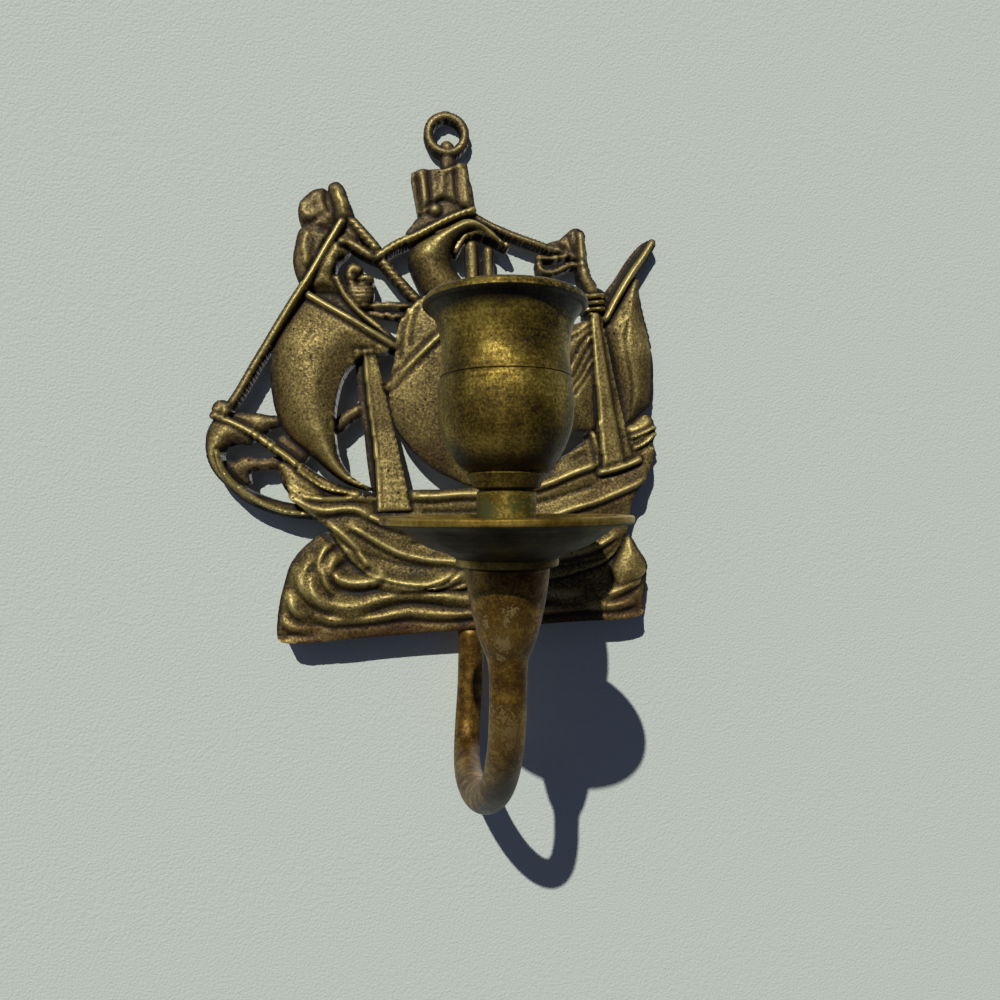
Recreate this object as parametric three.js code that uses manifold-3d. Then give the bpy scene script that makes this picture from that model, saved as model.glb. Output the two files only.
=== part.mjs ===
// A wall plaque candle holder in cast brass: a pierced plaque of a galleon on
// curling waves hangs by a ring, and a swan-neck arm carries a drip pan and a
// candle cup in front of it.
//
// Millimetres, +Z up, the wall at Y = 0 and the room at -Y. The relief is drawn
// in the plane of the wall as [x, z], with z counted from the plaque's bottom
// edge, and the height of a form is how far it stands off the wall. At the end
// everything is lowered so that the origin is on the flat back of the neck
// that carries the hanging ring.
import * as THREE from 'three';
import { mergeVertices } from 'three/addons/utils/BufferGeometryUtils.js';
import Module from 'manifold-3d';

const wasm = await Module();
wasm.setup();

// Plaque: the relief below is drawn for a ship DRAWN_WIDTH wide.
const SHIP_WIDTH = 148;
const DRAWN_WIDTH = 148;
const SHIP = SHIP_WIDTH / DRAWN_WIDTH;
const CASTING_WALL = 3;
const HULL_HOLLOW = 4;
const FOOT_SAG = 0.9;

// Hanging ring and its neck
const RING_HOLE = 8.8;
const RING_BAND = 3.1;
const RING_HEIGHT = 3.8;
const NECK_WIDTH = 5;
const NECK_LENGTH = 4.6;
const NECK_FOOT = 148.5 * SHIP;

// Arm: one rod with a tenon in the plaque, a swan-neck bend and a swelling
// top that ends in a spigot for the pan and the cup. The arm stands a little
// out of plumb, turned ARM_LEAN degrees about the wall's normal, and its bend
// bows to the left, most of all at the share ARM_BOW_AT along the rod.
const ROD = 8.1;
const ROD_OFF_WALL = 4.8;
const TENON = 5;
const TENON_LENGTH = 14;
const BOSS_WALL = 2.2;
const ARM_REACH = 79.2;
const ARM_DROP = 40.6;
const ARM_BOW = 2.9;
const ARM_BOW_AT = 0.4;
const ARM_TOP = 25.8;
const ARM_TOP_WIDTH = 18.2;
const ARM_LEAN = 2.3;
const SPIGOT = 6;
const SPIGOT_LENGTH = 12;
const FIT = 0.3;

// Drip pan
const PAN_WIDTH = 53.7;
const PAN_DEPTH = 9;
const PAN_WALL = 1.8;
const PAN_LIP = 4;
const PAN_FLANGE = 22;
const PAN_FLANGE_HEIGHT = 1.8;

// Candle cup
const CUP_HEIGHT = 53;
const CUP_RIM = 35.2;
const CUP_WAIST = 27.2;
const CUP_BULGE = 29;
const CUP_NECK = 12.4;
const CUP_NECK_HEIGHT = 12;
const CUP_FOOT_BAND = 17;
const CANDLE_BORE = 22.6;
const CANDLE_DEPTH = 28;

// Heights of the relief off the wall
const ROPE = 5;
const RAIL = 9.6;
const CREST = 10.4;
// Rails and crests begin inside the body that they lie on.
const SUNK = 2.6;

// A closed solid from points and triangles, turned inside out if they face in.
function solid(points, faces) {
  let volume = 0;
  for (const [a, b, c] of faces) volume += points[a].dot(points[b].clone().cross(points[c]));
  const turned = volume < 0 ? faces.map(([a, b, c]) => [a, c, b]) : faces;
  return new wasm.Manifold(new wasm.Mesh({
    numProp: 3,
    vertProperties: new Float32Array(points.flatMap((p) => p.toArray())),
    triVerts: new Uint32Array(turned.flat()),
  }));
}

function solidOf(geometry) {
  const plain = geometry.clone();
  plain.deleteAttribute('normal');
  plain.deleteAttribute('uv');
  const merged = mergeVertices(plain, 1e-4);
  return new wasm.Manifold(new wasm.Mesh({
    numProp: 3,
    vertProperties: new Float32Array(merged.attributes.position.array),
    triVerts: new Uint32Array(merged.index.array),
  }));
}

function geometryOf(manifold) {
  const mesh = manifold.getMesh();
  const geometry = new THREE.BufferGeometry();
  geometry.setAttribute('position', new THREE.BufferAttribute(mesh.vertProperties, 3));
  geometry.setIndex(new THREE.BufferAttribute(mesh.triVerts, 1));
  geometry.computeVertexNormals();
  return geometry;
}

function joined(solids) {
  return solids.reduce((sum, next) => sum.add(next));
}

// Points of a smooth curve through drawn points, evenly spaced.
function curve(points, steps, closed = false) {
  const through = points.map(([x, z]) => new THREE.Vector3(x * SHIP, 0, z * SHIP));
  const smooth = new THREE.CatmullRomCurve3(through, closed, 'centripetal');
  const spaced = smooth.getSpacedPoints(steps);
  return closed ? spaced.slice(0, -1) : spaced;
}

// A value along a form, from one number or from a few that it passes through.
function along(value, t) {
  if (!Array.isArray(value)) return value;
  const place = t * (value.length - 1);
  const i = Math.min(Math.floor(place), value.length - 2);
  return THREE.MathUtils.lerp(value[i], value[i + 1], place - i);
}

function raised(point, height) {
  return new THREE.Vector3(point.x, -height, point.z);
}

// Skins between two edges: section(t) gives [share across, height] pairs.
function loft(left, right, section, steps) {
  return stitched(curve(left, steps), curve(right, steps), section);
}

function stitched(left, right, section, foot = 0) {
  const steps = left.length - 1;
  const points = [];
  let size = 0;
  left.forEach((start, i) => {
    const across = [[0, foot], ...section(i / steps), [1, foot]];
    size = across.length;
    for (const [share, height] of across) {
      points.push(raised(start.clone().lerp(right[i], share), height));
    }
  });
  const faces = [];
  for (let i = 0; i < steps; i += 1) {
    for (let j = 0; j < size; j += 1) {
      const a = i * size + j;
      const b = i * size + (j + 1) % size;
      faces.push([a, b, b + size], [a, b + size, a + size]);
    }
  }
  for (const [first, ahead] of [[0, false], [steps * size, true]]) {
    const start = new THREE.Vector2(points[first].x, points[first].z);
    const outline = points.slice(first, first + size).map((p) => (
      new THREE.Vector2(start.distanceTo(new THREE.Vector2(p.x, p.z)), -p.y)));
    for (const corners of THREE.ShapeUtils.triangulateShape(outline, [])) {
      const [a, b, c] = corners.sort((one, other) => one - other).map((corner) => first + corner);
      faces.push(ahead ? [a, b, c] : [a, c, b]);
    }
  }
  return solid(points, faces);
}

// A half-round bar along a drawn line: ropes, yards, rails and wave crests.
const ARCH = [[0, 0.62], [0.5, 1], [1, 0.62]];

function bar(points, width, height, steps = 4, foot = 0) {
  const middle = curve(points, steps);
  const sides = [[], []];
  middle.forEach((p, i) => {
    const ahead = middle[Math.min(i + 1, steps)].clone().sub(middle[Math.max(i - 1, 0)]).normalize();
    const half = along(width, i / steps) / 2;
    sides[0].push(new THREE.Vector3(p.x - ahead.z * half, 0, p.z + ahead.x * half));
    sides[1].push(new THREE.Vector3(p.x + ahead.z * half, 0, p.z - ahead.x * half));
  });
  const arch = (t) => ARCH.map(([share, part]) => [share, foot + part * (along(height, t) - foot)]);
  return stitched(sides[0], sides[1], arch, foot);
}

// A domed form inside a closed outline, highest at its middle. A low one only
// slopes up to it.
const DOME_RINGS = [[1, 0], [0.68, 0.74]];
const LOW_DOME = 3;

function dome(outline, middle, edge, crown, steps) {
  const rim = curve(outline, steps, true);
  const top = curve([middle, middle], 1)[0];
  const points = rim.map((p) => raised(p, 0));
  const rings = crown - edge > LOW_DOME ? DOME_RINGS : DOME_RINGS.slice(0, 1);
  for (const [share, part] of rings) {
    for (const p of rim) points.push(raised(top.clone().lerp(p, share), edge + (crown - edge) * part));
  }
  const levels = rings.length + 1;
  const back = points.push(raised(top, 0)) - 1;
  const front = points.push(raised(top, crown)) - 1;
  const faces = [];
  for (let i = 0; i < steps; i += 1) {
    const next = (i + 1) % steps;
    faces.push([back, next, i]);
    for (let level = 0; level < levels - 1; level += 1) {
      const a = level * steps;
      faces.push([a + i, a + next, a + steps + next], [a + i, a + steps + next, a + steps + i]);
    }
    const last = (levels - 1) * steps;
    faces.push([front, last + i, last + next]);
  }
  return solid(points, faces);
}

function circle(x, z, radius, count = 8) {
  return Array.from({ length: count }, (_, i) => {
    const angle = (i / count) * 2 * Math.PI;
    return [x + radius * Math.cos(angle), z + radius * Math.sin(angle)];
  });
}

// Sections across a lofted form: a belly stands on its two edges, near and far.
function bellied(edge, crown, lean = 0.5, far = edge) {
  return (t) => {
    const fullness = Math.sin(Math.PI * (0.1 + 0.8 * t)) ** 0.7;
    return [0, lean * 0.4, 1 - (1 - lean) * 0.4, 1].map((share) => {
      const place = share < lean ? share / lean / 2 : 0.5 + (share - lean) / (1 - lean) / 2;
      const low = THREE.MathUtils.lerp(edge, far, share);
      return [share, low + (crown - low) * fullness * Math.sin(Math.PI * place)];
    });
  };
}

function banded(edge, face) {
  return (t) => [[0, along(edge, t)], [0.1, along(face, t)], [0.9, along(face, t)], [1, along(edge, t)]];
}

// The back of a hollow casting: a cut that starts behind the wall plane.
function hollow(cutter) {
  return cutter.translate([0, 0.01, 0]);
}

function hangingRing() {
  const radius = (RING_HOLE + RING_BAND) / 2;
  const half = RING_BAND / 2;
  const section = [[-half, 0], [-half, RING_HEIGHT * 0.6], [-half * 0.4, RING_HEIGHT],
    [half * 0.4, RING_HEIGHT], [half, RING_HEIGHT * 0.6], [half, 0], [-half, 0]];
  const profile = section.map(([out, up]) => new THREE.Vector2(radius + out, -up));
  const ring = solidOf(new THREE.LatheGeometry(profile, 18));
  const placed = ring.translate([0, 0, NECK_FOOT + NECK_LENGTH + RING_HOLE / 2 + RING_BAND]);
  const neck = new THREE.BoxGeometry(NECK_WIDTH, RING_HEIGHT * 0.9, NECK_LENGTH + RING_BAND + 2);
  neck.translate(0, -RING_HEIGHT * 0.45, NECK_FOOT + (NECK_LENGTH + RING_BAND) / 2 - 1);
  return [placed, solidOf(neck)];
}

// The streamer at the main top, with its upright folds.
function mainFlag() {
  const foot = [[-10.6, 133.4], [-7, 135], [-4, 138.2], [-1, 138.6], [3, 136.8], [7.6, 134]];
  const head = [[-12.4, 146.8], [-9, 148.2], [-5, 148.3], [-1, 148.8], [3, 150.3], [6.1, 150.4]];
  const folds = 3.2;
  return loft(foot, head, (t) => {
    const face = 4.7 + 0.8 * Math.cos(2 * Math.PI * (folds * t - 0.45));
    return [[0, face], [1, face]];
  }, 14);
}

function foreMast() {
  const flag = dome([[-39.5, 142], [-42.5, 141.8], [-45.6, 140], [-47.9, 137], [-48.4, 133.5],
    [-47.6, 130], [-44, 128], [-38, 128], [-36.5, 133], [-37.5, 139]], [-42.5, 135], 3.2, 5.2, 14);
  const masthead = dome([[-38.8, 142.3], [-37.5, 143.8], [-35.3, 143.9], [-33.6, 142], [-32.4, 138],
    [-31.2, 134.5], [-30.8, 131], [-33, 129.5], [-36.5, 130.5], [-37.5, 136]], [-34.8, 137], 3.4, 6, 13);
  const pennant = dome([[-47.8, 129.5], [-50, 123.5], [-50.8, 118.5], [-50, 114], [-48.8, 111.5],
    [-46, 112.5], [-42, 120], [-38, 127], [-40, 129.5], [-44, 130]], [-46, 121], 3, 5, 13);
  const topsail = dome([[-38.5, 127.5], [-42, 121], [-46, 113.5], [-47.5, 109.5], [-43.5, 108.6],
    [-39, 108.3], [-35.4, 107.4], [-36.8, 111], [-37.6, 115], [-36.4, 118.2], [-33, 121.5], [-33, 126]],
  [-40, 116], 4, 7.5, 16);
  const head = dome(circle(-33.6, 127, 4), [-33.6, 127], 3.6, 4.6, 8);
  const nest = dome([[-34.8, 108.5], [-33.8, 111.5], [-30.4, 111.6], [-26.6, 111], [-25.8, 108.5],
    [-26.8, 105], [-30, 102.3], [-33.3, 104.2]], [-30.3, 107.5], 3.5, 6.6, 11);
  const web = dome([[-45, 109.5], [-38, 109.6], [-35, 106], [-30, 101.5], [-24.5, 96], [-27, 94.5],
    [-33, 98.5], [-40, 103], [-46, 107]], [-36, 103], 3.6, 4.2, 9);
  return [flag, masthead, pennant, topsail, head, nest, web,
    bar([[-32.6, 116.4], [-32.3, 110]], 3.8, 6, 1),
    bar([[-28.3, 112.8], [-28.9, 107]], 3.8, 6.2, 1),
    bar([[-37, 127], [-32, 124], [-28, 121.4], [-23.5, 119.3]], 3.6, ROPE, 2),
    bar([[-31.5, 131], [-28.5, 127.5], [-25.5, 123.8], [-22.5, 119.6]], 3.4, ROPE + 0.4, 2),
    bar([[-23.4, 119.8], [-19.5, 114.3], [-15.5, 109.5], [-11.5, 105]], 3.6, ROPE, 3),
    bar([[-29, 104], [-24, 104.6], [-18, 104.4], [-12, 104.3]], 2.4, 4.2, 2),
    bar([[-29.5, 101.8], [-24, 101.6], [-18, 100.9], [-15, 101]], 1.8, 4, 2),
    bar([[-37.5, 113], [-35, 107.5], [-31.5, 103], [-27, 98.8], [-20.5, 92.8]], 2.4, 6, 3),
  ];
}

const FORESAIL_LUFF = [[-47.5, 109.5], [-51.5, 103.5], [-55, 98], [-58, 91.5], [-59.2, 84], [-59, 77],
  [-57.8, 70], [-55, 64], [-50.5, 59], [-46, 55], [-41.5, 50.5], [-36.5, 47], [-30, 44.8]];
const FORESAIL_LEECH = [[-20.5, 92], [-21.5, 89.5], [-24.5, 88.4], [-29, 88.2], [-33, 86], [-36.8, 81],
  [-38.8, 75], [-39.9, 69], [-40, 62], [-39, 55.5], [-36.4, 50.8], [-33, 47.8], [-29.5, 46]];

function foresail() {
  const yard = bar([[-46, 107.2], [-40, 103], [-33, 98.5], [-27, 94.7], [-20.3, 90.6]], 3.2,
    [7, 9, 10, 9.6, 8], 3);
  const stay = bar([[-35, 130.6], [-40, 122.3], [-46, 112.2], [-52, 103.5], [-58, 94.5], [-64, 85.3],
    [-70, 75.8], [-73, 72.3]], 3, [6.4, 6.8, 7.4, 6.6, 5.6, 5.2, 5], 4);
  return [loft(FORESAIL_LUFF, FORESAIL_LEECH, bellied(4, 10.4, 0.6, 7.6), 11), yard, stay,
    bar([[-39.5, 66], [-35.5, 69.4], [-31, 71.8]], 4.2, 4.6, 2)];
}

// The hollow behind the foresail follows its belly a casting wall inside it.
function foresailHollow() {
  const luff = [[-52, 98], [-55.2, 90], [-55.9, 82], [-55.2, 73], [-52, 64.5], [-46, 58.5]];
  const leech = [[-35, 92], [-38, 87], [-41, 81], [-42.6, 73], [-43.2, 65], [-43, 58.5]];
  return hollow(loft(luff, leech, bellied(1, 10.4 - CASTING_WALL - 0.6), 5));
}

// The ladder-like shrouds of the fore mast and of the mizzen mast.
function shrouds() {
  const side = [[-33, 90], [-32.3, 74], [-31.2, 64], [-30.6, 54], [-29.6, 45], [-28.6, 38.5]];
  const left = [[-30.4, 90], [-29.7, 74], [-28.8, 64], [-28.2, 54], [-27.9, 45], [-28, 38]];
  const right = [[-26.6, 90], [-24.2, 77.5], [-22.4, 68], [-20.6, 58], [-19, 48.5], [-17.3, 38]];
  const after = [[44.4, 101], [44.6, 90], [44.8, 80], [45, 65], [45.4, 49]];
  const afterRight = [[48.8, 101], [50.2, 90], [52, 77], [53.8, 66], [57, 50]];
  const foot = bar([[45, 47.6], [50, 48.5], [55, 50], [58, 51.2]], 3.4, 10.6, 2);
  const leftFoot = bar([[-29.2, 36.4], [-26.5, 35.1], [-18, 34]], 3, 10.4, 2, SUNK);
  const edge = left.map(([x, z]) => [x + 0.8, z]);
  return [loft(side, edge, () => [[0, 4.2], [1, 4.8]], 3),
    loft(left, right, banded([5.4, 5.8, 9], [6.6, 7.2, 10.4]), 3),
    loft(after, afterRight, (t) => [[0, 5.4 + 3 * t], [0.12, 7 + 3 * t], [0.66, 7.4 + 3 * t],
      [1, 5 + 3 * t]], 3), foot, leftFoot];
}

function mainMast() {
  const luff = [[-9.5, 107], [-13, 113.5], [-14.6, 119.5], [-12.5, 124], [-6, 127.6], [0, 130.3], [6, 132.6],
    [12, 129.6], [17.8, 123.8]];
  const leech = [[5, 107], [2.6, 112.5], [-0.3, 117.5], [0, 121.5], [1.6, 124.6], [5, 126.4], [9, 126.6],
    [13, 124.9], [17.3, 122.6]];
  const cap = dome([[-10.2, 133.6], [-12.8, 130.6], [-15, 127.4], [-13, 125], [-4, 127], [3, 131], [6, 134],
    [3, 137], [-1, 139], [-6, 137.6]], [-4.5, 132.4], 3.4, 4.8, 12);
  return [mainFlag(), cap, loft(luff, leech, bellied(4, 8.8, 0.45), 9),
    dome(circle(-5, 135, 2.4), [-5, 135], 4, 5.8, 6),
    bar([[6.2, 123.6], [6.3, 107]], 4.4, 5.4, 1),
    bar([[11.7, 121.8], [11.4, 105]], 3.8, 5, 1),
    bar([[1, 121.5], [4, 126.2], [9, 127.2], [13, 125.7], [17.8, 123.2]], 1.8, 6.6, 4),
    bar([[6.8, 134.6], [0, 131.8], [-6, 128.8], [-12, 125.9], [-18, 123.4], [-24, 120]], 3,
      [6.6, 6.4, 6, 5], 3),
    bar([[6.6, 133.8], [14, 129.9], [22, 126.6], [30, 123.8], [38, 121.3], [44, 118.4]], 2.6, 4.8, 4),
  ];
}

const MAINSAIL = [[-12.6, 105.2], [-17.5, 99.5], [-19.8, 93], [-20.4, 86.5], [-22.2, 80], [-22.6, 72],
  [-21.3, 65.5], [-18, 60], [-14, 55.3], [-9, 51], [-4, 48.2], [3, 45.2], [14, 45.6], [24, 49], [32, 55.5],
  [37, 61.8], [44, 62.5], [45, 75], [45, 90], [44.5, 98], [36, 96.5], [26, 100.5], [15, 105.5], [4, 108],
  [-6, 108]];
const MAINSAIL_MIDDLE = [9, 78];
const MAINSAIL_EDGE = 6.8;
const MAINSAIL_CROWN = 10.4;

function mainsail() {
  const yard = bar([[-23, 77.6], [-17, 83], [-12, 87.6], [-6.5, 92.5], [0, 98], [8, 105.5]], 3.6,
    [6.6, 8.4, 9.8, 10.6, 10.2, 7.4], 4);
  return [dome(MAINSAIL, MAINSAIL_MIDDLE, MAINSAIL_EDGE, MAINSAIL_CROWN, 28), yard,
    bar([[36.6, 80.5], [40.5, 87.5], [44, 92.3]], 2.8, 7.6, 2),
    bar([[35, 92], [40, 94.6], [44.8, 98.2]], 2.2, 6.4, 1),
    bar([[37, 74.5], [41, 79.5], [44.4, 85]], 2, 7.4, 1)];
}

// It leaves a casting wall in front and a rim of the sail's full height around.
function mainsailHollow() {
  const [x0, z0] = MAINSAIL_MIDDLE;
  const inset = MAINSAIL.map(([x, z]) => [x0 + (x - x0) * 0.86, z0 + (z - z0) * 0.86]);
  const [edge, crown] = [MAINSAIL_EDGE - CASTING_WALL, MAINSAIL_CROWN - CASTING_WALL];
  return hollow(dome(inset, MAINSAIL_MIDDLE, edge, crown, 14));
}

function mizzenMast() {
  const flag = dome([[31.5, 124.3], [33, 125.3], [36, 126.1], [38.5, 128.2], [41, 129.8], [43.5, 129.5],
    [45, 127.8], [44.6, 124.5], [45.3, 121], [45, 118], [42, 118.6], [38, 120.5], [34, 122]],
  [41.5, 124], 3.4, 5, 16);
  const lateen = dome([[49.8, 98.5], [50.5, 90], [52.5, 80], [54.5, 66.5], [54.8, 62.5], [59, 64.8],
    [62, 67.5], [64.6, 69.5], [65.6, 73], [66.3, 80], [66.1, 87], [65.3, 94], [64, 100], [63, 106.5],
    [62.4, 113.5], [60.5, 113], [55, 105]], [58.5, 88], 3.6, 8.4, 22);
  const headLeft = [[48.2, 101], [50.8, 108], [55, 113.2], [60, 120.2], [64, 124.5], [67, 126.2]];
  const headRight = [[52, 97.5], [54.8, 103], [58.8, 108.5], [62.8, 114.5], [66, 118.5], [69.4, 124]];
  const beads = [105.8, 102.8].map((z) => bar([[43.7, z - 0.3], [49.3, z + 0.4]], 2.4, 7.4, 1));
  return [flag, lateen, loft(headLeft, headRight, () => [[0, 3], [1, 3.4]], 5),
    bar([[50.2, 99], [54.8, 106.5], [60.5, 114.8], [64.5, 119.8], [68, 124.8]], 3, [7, 6.4, 5.8, 5], 3),
    bar([[42.8, 127], [43.3, 118], [44, 113], [46, 108.5], [46.6, 100]], [3, 3.4, 4.4, 5, 4.6], 6, 4),
    ...beads,
    bar([[45, 109.4], [48.5, 108.4], [52, 106]], 3.2, 3.6, 2),
    bar([[29, 119.6], [28.6, 117], [31, 115], [35, 115.6], [39, 117.4], [43.6, 117.2]], 2.2, 4.6, 5),
    bar([[28.6, 119.8], [33, 119.6], [38, 120.4]], 2, 4.6, 2),
  ];
}

const HULL_TOP = [[-55.5, 48.5], [-50, 44.8], [-44, 43.8], [-36, 43.6], [-28, 43.2], [-17, 44.6],
  [-8, 44.4], [4, 44.6], [16, 45], [27, 47], [32, 52.5], [38, 56], [45, 61.2], [54, 62], [64, 58]];
const HULL_FOOT = [[-54.5, 43.6], [-49, 38.5], [-44, 34.4], [-40, 28], [-34, 20], [-20, 15], [0, 13],
  [20, 13], [36, 15], [47, 19], [52.5, 26], [54.2, 33], [56, 39], [60, 44.6], [63.4, 51]];

function hull() {
  const body = loft(HULL_TOP, HULL_FOOT, () => [[0, 7.6], [0.15, 8.4], [1, 7.4]], 12);
  const gallery = dome([[54.8, 62.2], [58.5, 64], [62, 66.3], [64, 65.3], [65, 62], [64.7, 58.5],
    [63.4, 56.2], [60.5, 54.5], [57.6, 53.4], [55.8, 55]], [60, 60], 6.6, 9, 11);
  const rails = [
    [[-55.8, 49.4], [-52.5, 46.6], [-49, 44.6], [-44.5, 43.6], [-39, 43.4], [-34, 43.3], [-28.5, 42.2]],
    [[-54.8, 44.4], [-51, 42.2], [-47.5, 40.2], [-43, 39.3], [-38, 39.7], [-34, 39.2], [-30, 36.8],
      [-24, 34], [-14, 32], [0, 31.2], [14, 31.8], [26, 33.8], [36, 36.6], [43, 38.2], [50, 40.7],
      [57, 43.4], [60.8, 45.6]],
    [[-17.5, 42.8], [-10, 42.3], [-2, 42.6], [4, 42.4], [16, 42.6], [27.5, 44.9], [33, 46.9],
      [38.5, 48.8], [44.8, 50.6]],
    [[-37.5, 35], [-33.5, 32.5], [-28.5, 29], [-22, 25.2], [-14, 22.7], [-6, 21.6], [4, 20.4], [16, 20],
      [30, 21], [42, 23.4], [50, 27.6]],
    [[-43.8, 35.8], [-39.5, 32.3], [-35, 27.2], [-32, 22.5], [-29, 21.3]],
  ];
  const steps = [3, 10, 4, 6, 2];
  return [body, gallery, ...rails.map((line, i) => bar(line, 2.5, RAIL, steps[i], SUNK)),
    bar([[56.4, 58.8], [60, 60], [64, 61.8]], 1.8, 9.8, 1, SUNK),
    bar([[57.2, 55.2], [60.5, 56.7], [64, 59.6]], 2, 9.6, 2, SUNK),
    bar([[43.4, 60], [44.6, 54], [45, 48]], 3, 8.6, 2)];
}

function bow() {
  const outer = [[-77, 69.5], [-79, 65.5], [-79.6, 61], [-79, 56.5], [-76.8, 52], [-73, 47.6], [-68.5, 43.3],
    [-62, 39.8], [-55, 37.6], [-46, 36.4]];
  const inner = [[-64.5, 64.5], [-66, 61.5], [-71, 61.6], [-74.6, 58.5], [-74.3, 55], [-72, 51], [-68, 47.6],
    [-62, 44.6], [-55.5, 42.4], [-46, 41]];
  const flag = dome([[-72.5, 71.2], [-68, 71.3], [-64, 71.1], [-60.5, 70.3], [-57.2, 69.8], [-56.6, 67.4],
    [-59.6, 66.2], [-62, 64.6], [-64.5, 64.4], [-68.5, 67.2]], [-64, 68.2], 3, 4.8, 12);
  const web = dome([[-58.5, 62], [-56, 64], [-52, 60.5], [-48.5, 57.8], [-50.5, 54.8], [-54.5, 56.5]],
    [-53.5, 59.4], 3.2, 4.2, 8);
  const cheek = dome([[-57.6, 55], [-52, 54.6], [-44, 48.6], [-37, 45.4], [-37, 42.6], [-46, 43],
    [-54.6, 47], [-56.4, 50]], [-48, 47.4], 4.6, 6.6, 12);
  const lobe = dome([[-74.6, 56.4], [-71, 56.4], [-68, 57.7], [-63.5, 56.6], [-57.5, 57], [-56.5, 53.4],
    [-63, 53.4], [-67, 52.4], [-67, 48.6], [-71, 49.6]], [-68, 54.4], 3.4, 4.6, 12);
  return [loft(outer, inner, bellied(4, 7.2), 10), flag, web, cheek, lobe,
    bar([[-75.8, 59], [-75, 55], [-72.4, 50.6], [-68, 46.2], [-63, 42.6], [-57, 39.9], [-49, 38.6]],
      1.8, 7.8, 6, 3),
    bar([[-76.5, 70.6], [-70, 67.4], [-65, 64.4], [-60, 60.5], [-55, 56.6], [-51.5, 53.4], [-46.5, 49.6],
      [-41, 46.4], [-34, 44]], 2.9, [6, 6.4, 7, 7.8, 8.6], 4),
    bar([[-51.5, 52.2], [-47.5, 49], [-43.5, 46.4], [-37, 44.8]], 1.8, 8.4, 3),
    dome(circle(-74.2, 72.4, 3), [-74.2, 72.4], 4, 6.8, 10),
  ];
}

function waves() {
  const foot = [[-60.2, 0.4], [-58.6, -0.8], [-30, -FOOT_SAG], [0, -FOOT_SAG], [30, -0.7], [56.4, -0.5],
    [57.8, 0.8]];
  const head = [[-60.6, 2.8], [-59.6, 10], [-57.4, 18], [-55, 24], [-50.5, 29], [-44.5, 32.4], [-38, 28],
    [-20, 21], [0, 18], [20, 17], [36, 18], [46, 20], [53.4, 27], [57, 21.5], [59.7, 16], [59.2, 9.5],
    [58, 3.4]];
  const body = loft(foot, head, () => [[0, 8.2], [1, 7.2]], 14);
  const crests = [
    [[-39, 25.6], [-41.8, 24], [-42.8, 21.6], [-41.6, 18.4], [-38, 16.4], [-33, 16.2], [-29, 17.6],
      [-26.2, 20.4]],
    [[-41.4, 29.8], [-44.6, 27.4], [-46, 24], [-45.8, 20], [-44.6, 16.4]],
    [[-47.8, 26.8], [-50, 23.6], [-50.4, 20], [-48.8, 15.4], [-45.6, 11.4], [-41, 9.2], [-36, 8.9],
      [-30, 10], [-25, 11.2], [-19, 12], [-12, 11], [-5, 9.4], [4, 9], [16, 10], [28, 9], [38, 8.4]],
    [[-54.2, 24], [-53.4, 19], [-51.6, 15.6], [-49, 12.6]],
    [[-56.8, 15.6], [-56.4, 12], [-54.6, 8.6], [-51, 6.2], [-46, 5], [-38, 5.2], [-30, 5.2], [-20, 5.8],
      [-12, 4.8], [-4, 4.6], [8, 5.4], [22, 4.2], [34, 4.6], [44, 4], [50, 3.8], [55, 5]],
    [[-59, 8.4], [-57.6, 5], [-54.6, 3.2], [-50, 2.6]],
    [[-31, 15.6], [-25, 15.4], [-19, 14.6], [-13, 14.7], [-7, 16.2], [-2, 18.6]],
    [[42, 7.2], [47, 8], [52, 10], [56.5, 12.4], [58.6, 15.4]],
  ];
  const widths = [3.6, 2.8, 3.6, 2.4, 3.2, 2.4, 3, 3];
  const steps = [6, 2, 10, 2, 7, 2, 2, 2];
  const breaker = dome([[-14, 13.4], [-8, 14.4], [-3.4, 18.4], [-0.6, 18.4], [-0.4, 13], [-6, 12.4]],
    [-3, 15.6], 8.6, CREST, 9);
  const swell = dome([[49, 19], [50.4, 22], [53.6, 26.6], [57, 21.5], [59.7, 16], [58.6, 13.4], [53, 11.2],
    [49, 10.4], [47.4, 14.6]], [54, 17.4], 7.4, CREST, 12);
  return [body, breaker, swell, ...crests.map((line, i) => bar(line, widths[i], CREST, steps[i], SUNK))];
}

function hullHollow() {
  const lower = [-56.5, -30, 0, 30, 54.8].map((x) => [x, CASTING_WALL]);
  const upper = [[-56.5, 8], [-54, 17], [-50.5, 23], [-45, 27], [-38, 24], [-20, 17.5], [0, 15], [20, 15],
    [36, 15], [46, 17], [52.4, 21.4], [56, 14], [54.8, 6]];
  const keel = [[-33, 25], [-20, 20.6], [0, 18], [20, 18], [38, 19], [48, 24], [51, 33], [54, 40]];
  const deck = [[-38, 36], [-28, 38.6], [-10, 40.4], [8, 40.6], [24, 41], [34, 44], [42, 50], [54, 51]];
  const flat = () => [[0, HULL_HOLLOW], [1, HULL_HOLLOW]];
  return [hollow(loft(lower, upper, flat, 8)), hollow(loft(keel, deck, flat, 5))];
}

// The boss inside the hollow that takes the arm's tenon from below.
const BORE = TENON + 2 * FIT;
const BOSS_WIDTH = BORE + 2 * BOSS_WALL;
const BOSS_HEIGHT = ROD_OFF_WALL + BORE / 2 + BOSS_WALL;
const BOSS_LENGTH = FOOT_SAG + TENON_LENGTH + FIT + BOSS_WALL;

function boss() {
  const block = new THREE.BoxGeometry(BOSS_WIDTH, BOSS_HEIGHT, BOSS_LENGTH);
  block.translate(0, -BOSS_HEIGHT / 2, BOSS_LENGTH / 2 - FOOT_SAG);
  return solidOf(block);
}

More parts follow.
